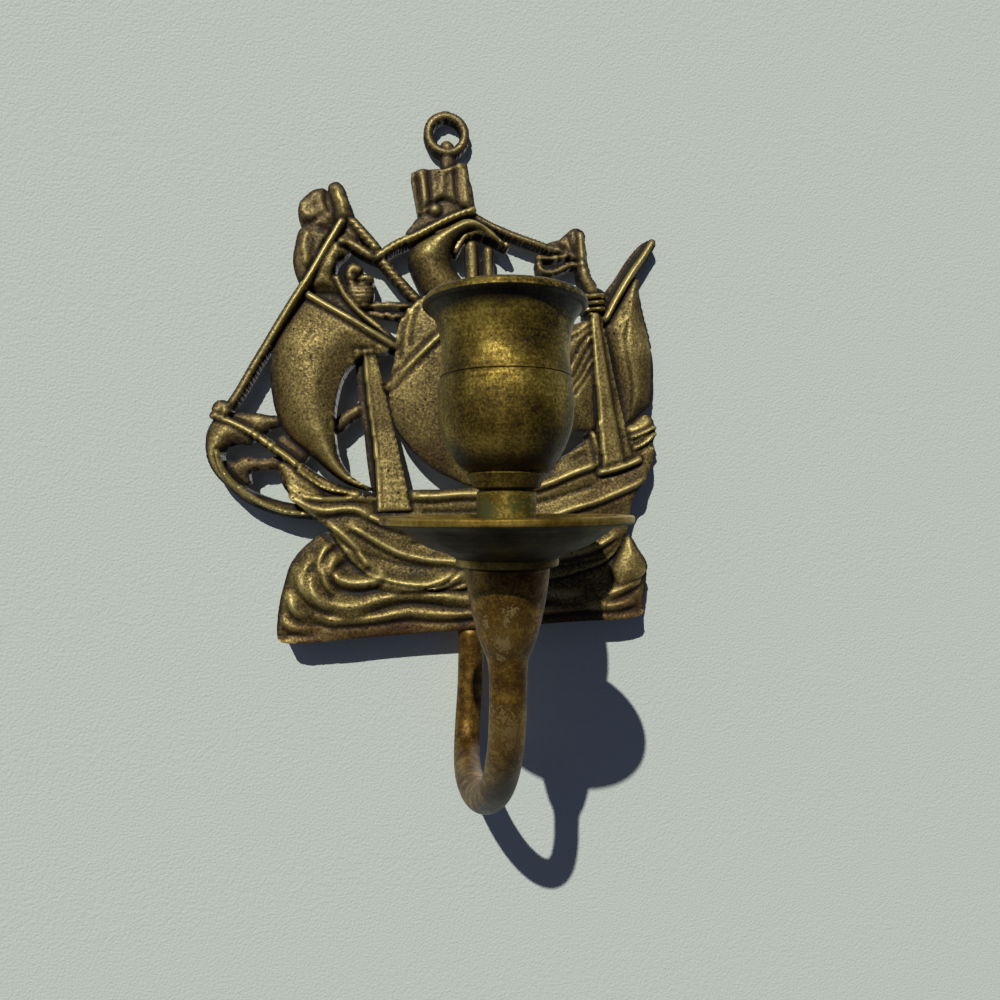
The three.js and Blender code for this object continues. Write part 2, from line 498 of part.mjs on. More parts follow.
function bossBore() {
  const below = 10;
  const bore = new THREE.CylinderGeometry(BORE / 2, BORE / 2, TENON_LENGTH + FIT + below, 16);
  bore.rotateX(Math.PI / 2);
  bore.translate(0, 0, (TENON_LENGTH + FIT - below) / 2);
  bore.rotateY(THREE.MathUtils.degToRad(ARM_LEAN));
  bore.translate(0, -ROD_OFF_WALL, 0);
  return solidOf(bore);
}

function shipPlaque() {
  let ship = joined([...foreMast(), ...foresail(), ...mainMast(), ...mainsail(), ...mizzenMast(), ...hull(),
    ...bow(), ...waves(), ...shrouds()]);
  for (const cut of [foresailHollow(), mainsailHollow(), ...hullHollow()]) ship = ship.subtract(cut);
  return ship.add(joined([...hangingRing(), boss()])).subtract(bossBore());
}

// The arm is drawn from its own root: [distance out from the rod, height].
const ARM_SHOULDER = -FOOT_SAG - FIT;
const ARM_LINE = [[0, ARM_SHOULDER], [0, -10], [0.3, -ARM_DROP * 0.6], [1.7, -ARM_DROP * 0.8],
  [6.6, -ARM_DROP * 0.94], [ARM_REACH * 0.27, -ARM_DROP], [ARM_REACH * 0.5, -ARM_DROP + 2.1],
  [ARM_REACH * 0.7, -ARM_DROP + 8], [ARM_REACH - 11.9, -24.4], [ARM_REACH - 4, -14.5],
  [ARM_REACH - 0.6, -5], [ARM_REACH, 2]];
const ARM_SWELL = [[0.16, 0.06], [0.34, 0.38], [0.52, 0.62], [0.7, 0.8], [0.88, 0.94], [1, 1]];
const ARM_SIDES = 12;
const ARM_STEPS = 20;

function armBow(share) {
  const after = (share - ARM_BOW_AT) / (1 - ARM_BOW_AT);
  const place = share < ARM_BOW_AT ? share / ARM_BOW_AT / 2 : 0.5 + after / 2;
  return ARM_BOW * Math.sin(Math.PI * place) ** 3;
}

// A ring of points round the arm, square to the way it runs.
function armRing([out, z], [ahead, up], radius, bow = 0) {
  return Array.from({ length: ARM_SIDES }, (_, i) => {
    const angle = (i / ARM_SIDES) * 2 * Math.PI;
    const side = Math.sin(angle) * radius;
    return new THREE.Vector3(Math.cos(angle) * radius - bow, -(out - up * side), z + ahead * side);
  });
}

function arm() {
  const drawn = ARM_LINE.map(([out, z]) => new THREE.Vector3(out, 0, z));
  const line = new THREE.CatmullRomCurve3(drawn, false, 'centripetal');
  const down = [0, -1];
  const up = [0, 1];
  const rings = [armRing([0, TENON_LENGTH], down, TENON / 2), armRing([0, ARM_SHOULDER], down, TENON / 2)];
  for (let i = 0; i <= ARM_STEPS; i += 1) {
    const p = line.getPointAt(i / ARM_STEPS);
    const way = line.getTangentAt(i / ARM_STEPS);
    rings.push(armRing([p.x, p.z], [way.x, way.z], ROD / 2, armBow(i / ARM_STEPS)));
  }
  const start = ARM_LINE.at(-1)[1];
  for (const [share, part] of ARM_SWELL) {
    const width = THREE.MathUtils.lerp(ROD, ARM_TOP_WIDTH, part);
    rings.push(armRing([ARM_REACH, THREE.MathUtils.lerp(start, ARM_TOP, share)], up, width / 2));
  }
  rings.push(armRing([ARM_REACH, ARM_TOP], up, SPIGOT / 2));
  rings.push(armRing([ARM_REACH, ARM_TOP + SPIGOT_LENGTH], up, SPIGOT / 2));
  const points = rings.flat();
  const faces = [];
  for (let i = 0; i < rings.length - 1; i += 1) {
    for (let j = 0; j < ARM_SIDES; j += 1) {
      const a = i * ARM_SIDES + j;
      const b = i * ARM_SIDES + (j + 1) % ARM_SIDES;
      faces.push([a, b, b + ARM_SIDES], [a, b + ARM_SIDES, a + ARM_SIDES]);
    }
  }
  const last = points.length - ARM_SIDES;
  for (let j = 1; j < ARM_SIDES - 1; j += 1) {
    faces.push([0, j + 1, j], [last, last + j, last + j + 1]);
  }
  return geometryOf(solid(points, faces));
}

// Round pieces are turned about an upright axis, from [radius, height] pairs
// that run up their outside and back down their inside.
function turned(profile, sides) {
  const points = profile.map(([radius, z]) => new THREE.Vector2(radius, z));
  return geometryOf(solidOf(new THREE.LatheGeometry(points, sides).rotateX(Math.PI / 2)));
}

// The pan stands on the arm's top, and the cup on the floor of the pan.
const PAN_HOLE = SPIGOT / 2 + FIT;
const PAN_FLOOR = PAN_FLANGE_HEIGHT + PAN_WALL;
const PAN_RIM = PAN_FLANGE_HEIGHT + PAN_DEPTH;
const PAN_BOWL = [[0.52, 0.1], [0.74, 0.36], [0.9, 0.68], [1, 0.9]];

function dripPan() {
  const rim = PAN_WIDTH / 2;
  const bowl = rim - PAN_LIP;
  const under = PAN_BOWL.map(([out, up]) => [bowl * out, PAN_FLANGE_HEIGHT + (PAN_DEPTH - PAN_WALL) * up]);
  const over = PAN_BOWL.map(([out, up]) => [(bowl - PAN_WALL * 0.6) * out,
    PAN_FLOOR + (PAN_DEPTH - PAN_WALL) * up * 0.96]).reverse();
  return turned([[PAN_HOLE, 0], [PAN_FLANGE / 2 - 0.8, 0], [PAN_FLANGE / 2, 0.8],
    [PAN_FLANGE / 2, PAN_FLANGE_HEIGHT], ...under, [rim - 0.6, PAN_RIM - PAN_WALL],
    [rim, PAN_RIM - PAN_WALL + 0.5], [rim, PAN_RIM - 0.5], [rim - 0.6, PAN_RIM], [bowl, PAN_RIM], ...over,
    [CUP_NECK / 2 + 1.6, PAN_FLOOR], [PAN_HOLE, PAN_FLOOR],
    [PAN_HOLE, 0]], 26);
}

function candleCup() {
  const bore = SPIGOT / 2 + FIT;
  const socket = SPIGOT_LENGTH - PAN_FLOOR - FIT;
  const bowl = CUP_HEIGHT - CUP_NECK_HEIGHT;
  const candle = CANDLE_BORE / 2;
  const seat = CUP_HEIGHT - CANDLE_DEPTH;
  const at = (share) => CUP_NECK_HEIGHT + bowl * share;
  return turned([[0, socket], [bore, socket], [bore, 0], [CUP_NECK / 2 + 0.8, 0], [CUP_NECK / 2, 1.4],
    [CUP_NECK / 2, CUP_NECK_HEIGHT], [CUP_FOOT_BAND / 2, at(0.09)], [CUP_BULGE * 0.355, at(0.14)],
    [CUP_BULGE * 0.44, at(0.24)], [CUP_BULGE * 0.49, at(0.35)], [CUP_BULGE * 0.498, at(0.5)],
    [CUP_WAIST * 0.505, at(0.65)], [CUP_WAIST / 2, at(0.73)], [CUP_WAIST * 0.515, at(0.81)],
    [CUP_RIM * 0.425, at(0.89)], [CUP_RIM * 0.455, at(0.94)], [CUP_RIM / 2, at(0.978)],
    [CUP_RIM / 2, at(0.99)], [CUP_RIM / 2 - 0.6, at(1)], [CUP_RIM / 2 - 1.8, at(1)],
    [CUP_RIM * 0.4, at(0.955)], [candle + 0.6, at(0.86)], [candle, at(0.8)], [candle, seat], [0, seat]], 22);
}

function brass(colour, roughness) {
  return new THREE.MeshStandardMaterial({ color: colour, metalness: 0.9, roughness });
}

function piece(name, geometry, material) {
  const mesh = new THREE.Mesh(geometry, material);
  mesh.name = name;
  return mesh;
}

const candleHolder = new THREE.Group();
candleHolder.position.z = -NECK_FOOT - NECK_LENGTH / 2;
candleHolder.add(piece('ship_plaque', geometryOf(shipPlaque()), brass(0x6f6030, 0.45)));

const armGroup = new THREE.Group();
armGroup.position.y = -ROD_OFF_WALL;
armGroup.rotation.y = THREE.MathUtils.degToRad(ARM_LEAN);
armGroup.add(piece('arm', arm(), brass(0x7d6a30, 0.4)));

const pan = piece('drip_pan', dripPan(), brass(0x6a5f3a, 0.42));
pan.position.set(0, -ARM_REACH, ARM_TOP + FIT);
const cup = piece('candle_cup', candleCup(), brass(0x75652c, 0.38));
cup.position.set(0, -ARM_REACH, ARM_TOP + PAN_FLOOR + 2 * FIT);
armGroup.add(pan, cup);
candleHolder.add(armGroup);

export default candleHolder;
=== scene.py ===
"""A wall plaque candle holder in aged cast brass: a pierced relief of a galleon on
curling waves, with a swan-neck arm that carries a drip pan and a candle cup.

The relief is drawn in millimetres as (x, z) on the wall, with z counted from the
bottom edge of the plaque, and its heights are millimetres off the wall. It becomes
one closed mesh: a field of heights in front, walls down to the wall plane, and a
hollow back. The round pieces are turned and swept from the same profiles as the
solids that they stand for, but the neck of the cup is slightly wider and taller.
"""
from math import cos, pi, radians, sin

import bmesh
import bpy
import numpy as np
from mathutils import Matrix, Vector


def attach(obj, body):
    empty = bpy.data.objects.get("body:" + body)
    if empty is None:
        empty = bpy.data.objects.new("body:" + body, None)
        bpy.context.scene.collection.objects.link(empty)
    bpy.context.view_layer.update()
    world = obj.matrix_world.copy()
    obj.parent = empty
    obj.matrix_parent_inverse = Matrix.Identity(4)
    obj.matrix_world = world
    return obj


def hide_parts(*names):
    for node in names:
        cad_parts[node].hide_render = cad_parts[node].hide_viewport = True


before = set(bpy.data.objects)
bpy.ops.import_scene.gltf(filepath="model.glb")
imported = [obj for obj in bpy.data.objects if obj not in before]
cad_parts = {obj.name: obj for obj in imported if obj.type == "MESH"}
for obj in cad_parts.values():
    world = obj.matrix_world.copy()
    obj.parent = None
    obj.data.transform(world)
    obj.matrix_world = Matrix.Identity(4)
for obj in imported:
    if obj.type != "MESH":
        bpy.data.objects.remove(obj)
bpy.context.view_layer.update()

MM = 0.001

# Driving sizes, in millimetres
NECK_FOOT = 148.5
NECK_LENGTH = 4.6
NECK_WIDTH = 5
RING_HOLE = 8.8
RING_BAND = 3.1
RING_HEIGHT = 3.8
ORIGIN_UP = NECK_FOOT + NECK_LENGTH / 2
FOOT_SAG = 0.9
CASTING_WALL = 3
HULL_HOLLOW = 4
ROD = 8.1
ROD_OFF_WALL = 4.8
ARM_REACH = 79.2
ARM_DROP = 40.6
ARM_BOW = 2.9
ARM_BOW_AT = 0.4
ARM_TOP = 25.8
ARM_TOP_WIDTH = 18.2
ARM_LEAN = 2.3
TENON = 5
TENON_TOP = 8
SPIGOT = 6
SPIGOT_LENGTH = 6
FIT = 0.3
PAN_WIDTH = 53.7
PAN_DEPTH = 9
PAN_WALL = 1.8
PAN_LIP = 4
PAN_FLANGE = 22
PAN_FLANGE_HEIGHT = 1.8
CUP_HEIGHT = 53
CUP_RIM = 35.2
CUP_WAIST = 27.2
CUP_BULGE = 29
CUP_NECK = 12.4
CUP_NECK_HEIGHT = 12
CUP_NECK_EXTRA = 0.3
CUP_NECK_TALLER = 1
CUP_FOOT_BAND = 17
CUP_LIP = 2.2
CUP_LINE = 0.585
CANDLE_BORE = 22.6
CANDLE_DEPTH = 28

# How far the ropes and the highest waves stand off the wall
ROPE = 5
CREST = 10.4

# The relief is worked out on a grid of points, GRID apart, and its back is made in
# blocks of BLOCK cells. Each form has a rounded edge, with a groove round it.
GRID = 0.43
BLOCK = 4
LEFT, RIGHT, LOW, HIGH = -82, 72, -3, 169
SOFTNESS = 0.32
EDGE_ROUND = 0.9
EDGE_DROP = 0.7
GROOVE = 0.5
SHALLOW_GROOVE = 0.2
GROOVE_WIDTH = 0.55
BAR_FOOT = 0.55
SEED = 7

# The waves fall from the plaque's foot to their upper edge.
WAVE_BODY = 7.2
WAVE_FOOT_RISE = 1.3
WAVE_HEAD_FALL = 1.2

# The hollow back: how far its sides slope, and the boss that holds the arm
SAIL_SLOPE = 10
HULL_SLOPE = 2.5
SAIL_INSET = 0.8
THINNEST_METAL = 2
BOSS_HALF_WIDTH = 5
BOSS_TOP = 15.6

# Where grime gathers: in narrow hollows and in broad low places, which two blurs of the
# heights find, on what lies below DULL_BELOW, and along the foot. The hollows and broad low
# places are also darkened as painted shade.
NARROW_SPREAD = 0.7
BROAD_SPREAD = 3
FOOT_TARNISH = 0.9
FOOT_TARNISH_UP = 7
DULL_BELOW = 6.4
DULL_FADE = 2.4
BACK_GRIME = 0.3

# Lathe lines and speckle on the round pieces. Real ones are finer, and these are drawn as
# coarse as they need to be to show.
TURNING_PITCH = 0.5
SPECKLE_SIZE = 0.6


# Curves and distances

def smooth(points, closed=False, per=5):
    """Points along a centripetal Catmull-Rom curve through the drawn points."""
    drawn = np.array(points, float)
    if len(drawn) == 2:
        return drawn
    if closed:
        ends = np.vstack([drawn[-1], drawn, drawn[0], drawn[1]])
    else:
        ends = np.vstack([2 * drawn[0] - drawn[1], drawn, 2 * drawn[-1] - drawn[-2]])
    share = (np.arange(per) / per)[:, None]
    pieces = []
    for a, b, c, d in zip(ends, ends[1:], ends[2:], ends[3:]):
        gap_a, gap_b, gap_c = (max(np.linalg.norm(q - p), 1e-6) ** 0.5
                               for p, q in ((a, b), (b, c), (c, d)))
        way_b = ((b - a) / gap_a - (c - a) / (gap_a + gap_b) + (c - b) / gap_b) * gap_b
        way_c = ((c - b) / gap_b - (d - b) / (gap_b + gap_c) + (d - c) / gap_c) * gap_b
        cubic = 2 * (b - c) + way_b + way_c
        square = 3 * (c - b) - 2 * way_b - way_c
        pieces.append(b + way_b * share + square * share ** 2 + cubic * share ** 3)
    return np.vstack(pieces if closed else pieces + [drawn[-1:]])


def round_angles(count):
    return [2 * pi * i / count for i in range(count)]


class Relief:
    """A field of heights, with how far each point lies inside the outline."""

    def __init__(self):
        self.xs = np.arange(LEFT, RIGHT + GRID / 2, GRID)
        self.zs = np.arange(LOW, HIGH + GRID / 2, GRID)
        self.x, self.z = np.meshgrid(self.xs, self.zs, indexing="ij")
        self.height = np.zeros_like(self.x)
        self.rim = np.full_like(self.x, -9.0)
        self.random = np.random.default_rng(SEED)

    def window(self, line, reach):
        low = line.min(axis=0) - reach
        high = line.max(axis=0) + reach
        first = np.searchsorted(self.xs, low[0]), np.searchsorted(self.zs, low[1])
        last = np.searchsorted(self.xs, high[0]), np.searchsorted(self.zs, high[1])
        return slice(first[0], last[0]), slice(first[1], last[1])

    def measure(self, line, window, closed=False):
        """Distance to a line, millimetres along it, and the signed side."""
        x, z = self.x[window], self.z[window]
        best = np.full_like(x, 1e9)
        run = np.zeros_like(x)
        side = np.zeros_like(x)
        gone = 0.0
        ends = np.vstack([line, line[:1]]) if closed else line
        for a, b in zip(ends, ends[1:]):
            way = b - a
            length = max(np.hypot(*way), 1e-9)
            share = np.clip(((x - a[0]) * way[0] + (z - a[1]) * way[1]) / length ** 2, 0, 1)
            across = np.hypot(x - a[0] - share * way[0], z - a[1] - share * way[1])
            nearer = across < best
            best = np.where(nearer, across, best)
            run = np.where(nearer, gone + share * length, run)
            turn = ((x - a[0]) * way[1] - (z - a[1]) * way[0]) / length
            side = np.where(nearer, np.sign(turn), side)
            gone += length
        return best, run, side * best, gone

    def inside(self, outline, window):
        """Signed distance to a closed outline, positive inside."""
        x, z = self.x[window], self.z[window]
        crossings = np.zeros(x.shape, int)
        for (ax, az), (bx, bz) in zip(outline, np.roll(outline, -1, axis=0)):
            if az == bz:
                continue
            spans = (az > z) != (bz > z)
            crossings += spans & (x < ax + (z - az) / (bz - az) * (bx - ax))
        distance = self.measure(outline, window, closed=True)[0]
        return np.where(crossings % 2 == 1, distance, -distance)

    def lay(self, window, rim, top, groove=GROOVE):
        """The higher surface shows, and a groove runs round the new form."""
        covered = self.rim[window] > 0
        base = np.where(covered, self.height[window], 0)
        edge = np.clip(rim / EDGE_ROUND, 0, 1)
        top = top - EDGE_DROP * (1 - np.sqrt(1 - (1 - edge) ** 2))
        base = base - groove * np.exp(-(rim / GROOVE_WIDTH) ** 2)
        self.height[window] = np.where(rim > 0, np.maximum(base, top), base)
        self.rim[window] = np.maximum(self.rim[window], rim)

    def bar(self, points, width, top, twist=None, groove=GROOVE, foot=BAR_FOOT):
        """A half-round bar. A twist is (pitch, depth) of a laid rope."""
        line = smooth(points)
        widths = np.atleast_1d(width).astype(float)
        tops = np.atleast_1d(top).astype(float)
        window = self.window(line, widths.max() / 2 + 1)
        across, run, side, length = self.measure(line, window)
        share = run / length
        half = np.interp(share, np.linspace(0, 1, len(widths)), widths) / 2
        crown = np.interp(share, np.linspace(0, 1, len(tops)), tops)
        arch = np.sqrt(np.clip(1 - (across / half) ** 2, 0, 1))
        surface = crown * (foot + (1 - foot) * arch)
        if twist:
            pitch, depth = twist
            surface += depth * arch * np.sin(2 * pi * (run + side * 0.8) / pitch)
        self.lay(window, half - across, surface, groove)

    def dome(self, outline, middle, edge, crown, groove=GROOVE):
        """A form that rises from the height edge at its outline to crown at its middle."""
        line = smooth(outline, closed=True)
        window = self.window(line, 1)
        rim = self.inside(line, window)
        out = np.hypot(self.x[window] - middle[0], self.z[window] - middle[1])
        share = out / (out + np.maximum(rim, 1e-6))
        self.lay(window, rim, edge + (crown - edge) * (1 - share ** 3), groove)

    def between(self, one, other, section):
        """A form drawn between two edges: section(t along, share across) is its height."""
        left, right = smooth(one), smooth(other)
        outline = np.vstack([left, right[::-1]])
        window = self.window(outline, 1)
        rim = self.inside(outline, window)
        to_left, run_left, _, length_left = self.measure(left, window)
        to_right, run_right, _, length_right = self.measure(right, window)
        share = to_left / np.maximum(to_left + to_right, 1e-6)
        along = (1 - share) * run_left / length_left + share * run_right / length_right
        self.lay(window, rim, section(along, share))

    def line(self, points, width, rise, taper=1):
        """Raises or, with a rise below 0, cuts a soft line into what is there."""
        line = smooth(points)
        window = self.window(line, width * 2.5)
        across, run, _, length = self.measure(line, window)
        fade = np.clip(np.minimum(run, length - run) / (width * taper), 0, 1) ** 0.7
        self.height[window] += rise * (0.15 + 0.85 * fade) * np.exp(-(across / width) ** 2)

    def lines(self, drawn, width, rise):
        for points in drawn:
            self.line(points, width, rise)

    def ridge(self, points, width, rise):
        """A crest that swells out of the ground, with a narrow dark trough under it."""
        self.line([(x, z - width * 1.4) for x, z in points], width * 0.4, -0.25 * rise, 3)
        self.line(points, width * 2.2, 0.45 * rise, 1.5)
        self.line(points, width * 0.85, 0.6 * rise, 2.5)

    def dimples(self, spots, radius, depth):
        for x, z in spots:
            spot = np.array([[x, z]], float)
            window = self.window(spot, radius * 2.5)
            out = np.hypot(self.x[window] - x, self.z[window] - z)
            self.height[window] -= depth * np.exp(-(out / radius) ** 2)

    def noise(self, size):
        """Smooth seeded noise of about the given size, from -1 to 1."""
        count = [int(np.ptp(values) / size) + 4 for values in (self.xs, self.zs)]
        coarse = self.random.uniform(-1, 1, count)
        at_x = (self.x - self.xs[0]) / size
        at_z = (self.z - self.zs[0]) / size
        i, j = at_x.astype(int), at_z.astype(int)
        u, v = at_x - i, at_z - j
        u, v = u * u * (3 - 2 * u), v * v * (3 - 2 * v)
        low = coarse[i, j] * (1 - u) + coarse[i + 1, j] * u
        high = coarse[i, j + 1] * (1 - u) + coarse[i + 1, j + 1] * u
        return low * (1 - v) + high * v

    def softened(self, values, spread):
        """A Gaussian blur that takes no part of the open sky."""
        weight = (self.rim > 0).astype(float)
        reach = int(np.ceil(3 * spread / GRID))
        steps = np.arange(-reach, reach + 1) * GRID
        kernel = np.exp(-(steps / spread) ** 2 / 2)
        kernel /= kernel.sum()
        blurred = []
        for field in (values * weight, weight):
            for axis in (0, 1):
                field = np.apply_along_axis(np.convolve, axis, field, kernel, "same")
            blurred.append(field)
        return blurred[0] / np.maximum(blurred[1], 1e-6)


def bellied(edge, crown, lean=0.5, far=None):
    """The section of a sail that the wind fills, highest at the share lean."""
    def section(t, share):
        low = edge + ((edge if far is None else far) - edge) * share
        place = np.where(share < lean, share / lean / 2, 0.5 + (share - lean) / (1 - lean) / 2)
        return low + (crown - low) * np.sin(pi * (0.1 + 0.8 * t)) ** 0.7 * np.sin(pi * place)
    return section


def circle(x, z, radius, count=10):
    return [(x + radius * cos(turn), z + radius * sin(turn)) for turn in round_angles(count)]


# The relief, part by part

def hanging_ring(relief):
    up = NECK_FOOT + NECK_LENGTH + RING_HOLE / 2 + RING_BAND
    band = circle(0, up, (RING_HOLE + RING_BAND) / 2, 24)
    relief.bar([(0, NECK_FOOT - 1), (0, NECK_FOOT + NECK_LENGTH + RING_BAND)], NECK_WIDTH,
               RING_HEIGHT * 0.9)
    relief.bar(band + band[:1], RING_BAND, RING_HEIGHT, foot=0.5, groove=SHALLOW_GROOVE)


def main_flag(relief):
    foot = [(-10.6, 133.4), (-7, 135), (-4, 138.2), (-1, 138.6), (3, 136.8), (7.6, 134)]
    head = [(-12.4, 146.8), (-9, 148.2), (-5, 148.3), (-1, 148.8), (3, 150.3), (6.1, 150.4)]
    relief.between(foot, head, lambda t, share: 5.1 - 0.4 * share)
    relief.lines([[(-9.6, 134.5), (-10.6, 147)], [(-6, 136), (-6.4, 141), (-6.5, 148)],
                  [(2.4, 137), (2, 143), (2, 149.6)]], 0.6, -1)
    relief.lines([[(-8, 136.5), (-8.6, 146.6)], [(5.2, 137), (4.7, 148.6)],
                  [(-2.8, 139.4), (-2, 147.6)]], 1, 0.5)
    relief.lines([[(-12, 145.6), (-8, 147.4)], [(-4, 147.6), (5, 149.4)]], 0.9, 0.5)


def fore_mast(relief):
    relief.dome([(-39.5, 142), (-42.5, 141.8), (-45.6, 140), (-47.9, 137), (-48.4, 133.5), (-47.6, 130),
                 (-44, 128), (-38, 128), (-36.5, 133), (-37.5, 139)], (-42.5, 135), 3.2, 4.8)
    relief.dome([(-38.8, 142.3), (-37.5, 143.8), (-35.3, 143.9), (-33.6, 142), (-32.4, 138), (-31.2, 134.5),
                 (-30.8, 131), (-33, 129.5), (-36.5, 130.5), (-37.5, 136)], (-34.8, 137), 3.4, 6)
    relief.dome([(-47.8, 129.5), (-50, 123.5), (-50.8, 118.5), (-50, 114), (-48.8, 111.5), (-46, 112.5),
                 (-42, 120), (-38, 127), (-40, 129.5), (-44, 130)], (-46, 121), 3, 5)
    relief.dome([(-38.5, 127.5), (-42, 121), (-46, 113.5), (-47.5, 109.5), (-43.5, 108.6), (-39, 108.3),
                 (-35.4, 107.4), (-36.8, 111), (-37.6, 115), (-36.4, 118.2), (-33, 121.5), (-33, 126)],
                (-39, 117), 4, 7.5)
    relief.dome(circle(-33.6, 127, 4), (-33.6, 127), 3.6, 4.6)
    relief.lines([[(-39.6, 142), (-39.6, 138), (-38.6, 134)], [(-47.4, 131.2), (-44.6, 131), (-42.4, 132.4)]],
                 0.7, -1)
    relief.dimples([(-43, 136.4), (-41, 133), (-44.6, 139.4), (-38.4, 130.6), (-41, 128.6)], 1.3, 0.5)
    relief.dimples([(-45.4, 125.6), (-43.6, 122), (-47.6, 120.4), (-46, 116)], 1, 0.3)
    relief.lines([[(-46.8, 138), (-47, 134.4), (-45, 132.6)], [(-45.6, 128.6), (-47, 124), (-46.4, 117)],
                  [(-42, 140.6), (-45, 138.6)]], 0.9, 0.5)
    relief.line([(-43.4, 127), (-44.6, 121), (-44, 117)], 0.8, -0.5)
    relief.line([(-35.9, 141.6), (-34.6, 137), (-33.6, 132.4)], 1.2, 0.5)
    relief.dimples([(-36.8, 140.8), (-33.8, 139), (-35.8, 136.4), (-32.6, 134.6)], 0.9, 0.45)
    relief.line([(-36.4, 123.2), (-32.4, 122.2)], 0.7, -1.6)
    nest = [(-34.8, 108.5), (-33.8, 111.5), (-30.4, 111.6), (-26.6, 111), (-25.8, 108.5), (-26.8, 105),
            (-30, 102.3), (-33.3, 104.2)]
    relief.bar([(-30.6, 115.4), (-32, 116), (-33.1, 114.4), (-32.3, 110)], 3.6, 6.2)
    relief.bar([(-27.4, 112.4), (-28.9, 112.6), (-29, 107)], 3.6, 6.2)
    relief.dome(nest, (-30.3, 107.5), 4.5, 7, SHALLOW_GROOVE)
    relief.lines([[(-34.6, z), (-30.4, z - 0.7), (-26, z - 0.2)]
                  for z in (112.4, 111, 109.6, 108.2, 106.8, 105.4, 104)], 0.4, -0.8)
    relief.dome([(-45, 109.5), (-38, 109.6), (-35, 106), (-30, 101.5), (-24.5, 96), (-27, 94.5), (-33, 98.5),
                 (-40, 103), (-46, 107)], (-36, 103), 3.6, 4.2)
    relief.bar([(-29, 104), (-24, 104.6), (-18, 104.4), (-12, 104.3)], 2.4, 4.2)
    relief.bar([(-29.5, 101.8), (-24, 101.6), (-18, 100.9), (-15, 101)], 1.8, 4)
    relief.bar([(-37, 127), (-32, 124), (-28, 121.4), (-23.5, 119.3)], 3.6, ROPE)
    relief.bar([(-31.5, 131), (-28.5, 127.5), (-25.5, 123.8), (-22.5, 119.6)], 3.4, ROPE + 0.6, (2, 0.28))
    relief.bar([(-23.4, 119.8), (-19.5, 114.3), (-15.5, 109.5), (-11.5, 105)], 3.6, ROPE + 0.2, (2, 0.28))
    relief.bar([(-37.5, 113), (-35, 107.5), (-31.5, 103), (-27, 98.8), (-20.5, 92.8)], 2.4, 6)


FORESAIL_LUFF = [(-47.5, 109.5), (-51.5, 103.5), (-55, 98), (-58, 91.5), (-59.2, 84), (-59, 77), (-57.8, 70),
                 (-55, 64), (-50.5, 59), (-46, 55), (-41.5, 50.5), (-36.5, 47), (-30, 44.8)]
FORESAIL_LEECH = [(-20.5, 92), (-21.5, 89.5), (-24.5, 88.4), (-29, 88.2), (-33, 86), (-36.8, 81), (-38.8, 75),
                  (-39.9, 69), (-40, 62), (-39, 55.5), (-36.4, 50.8), (-33, 47.8), (-29.5, 46)]


def foresail(relief):
    relief.between(FORESAIL_LUFF, FORESAIL_LEECH, bellied(4, 10.4, 0.6, 7.6))
    relief.lines([[(-45.6, 96), (-48.4, 91.6)], [(-57, 90), (-57.4, 82), (-56.6, 74)]], 0.6, -0.25)
    relief.dimples([(-43.5, 79)], 0.6, 0.6)
    relief.bar([(-39.5, 66), (-35.5, 69.4), (-31, 71.8)], 4.2, 4.6)
    relief.bar([(-35, 130.6), (-40, 122.3), (-46, 112.2), (-52, 103.5), (-58, 94.5), (-64, 85.3), (-70, 75.8),
                (-73, 72.3)], 3, [6.8, 7.6, 8, 7.2, 6, 5.4, 5.2])
    relief.bar([(-46, 107.2), (-40, 103), (-33, 98.5), (-27, 94.7), (-20.3, 90.6)], 3.2,
               [7, 9.4, 10.6, 10, 8.4])


def main_mast(relief):
    luff = [(-9.5, 107), (-13, 113.5), (-14.6, 119.5), (-12.5, 124), (-6, 127.6), (0, 130.3), (6, 132.6),
            (12, 129.6), (17.8, 123.8)]
    leech = [(5, 107), (2.6, 112.5), (-0.3, 117.5), (0, 121.5), (1.6, 124.6), (5, 126.4), (9, 126.6),
             (13, 124.9), (17.3, 122.6)]
    relief.dome([(-10.2, 133.6), (-12.8, 130.6), (-15, 127.4), (-13, 125), (-4, 127), (3, 131), (6, 134),
                 (3, 137), (-1, 139), (-6, 137.6)], (-4.5, 132.4), 3.4, 4.8)
    relief.between(luff, leech, bellied(4, 9.4, 0.45))
    relief.dome(circle(-5, 135, 2.4), (-5, 135), 4, 6)
    relief.bar([(6.2, 123.6), (6.3, 107)], 4.4, 5.6)
    relief.bar([(11.7, 121.8), (11.4, 105)], 3.8, 5.2)
    relief.bar([(1, 121.5), (4, 126.2), (9, 127.2), (13, 125.7), (17.8, 123.2)], 1.8, 6.8)
    relief.bar([(-5, 127), (-1, 128.6), (5, 131), (10, 128.6), (16, 124)], 1.6, 7.6)
    relief.bar([(6.8, 134.6), (0, 131.8), (-6, 128.8), (-12, 125.9), (-18, 123.4), (-24, 120)], 3,
               [7.4, 8, 7.4, 6], (2.2, 0.3))
    relief.bar([(6.6, 133.8), (14, 129.9), (22, 126.6), (30, 123.8), (38, 121.3), (44, 118.4)], 2.6, 4.8)


MAINSAIL = [(-12.6, 105.2), (-17.5, 99.5), (-19.8, 93), (-20.4, 86.5), (-22.2, 80), (-22.6, 72),
            (-21.3, 65.5), (-18, 60), (-14, 55.3), (-9, 51), (-4, 48.2), (3, 45.2), (14, 45.6), (24, 49),
            (32, 55.5), (37, 61.8), (44, 62.5), (45, 75), (45, 90), (44.5, 98), (36, 96.5), (26, 100.5),
            (15, 105.5), (4, 108), (-6, 108)]
MAINSAIL_MIDDLE = (9, 78)
MAINSAIL_EDGE = 6.8
MAINSAIL_CROWN = 10.4


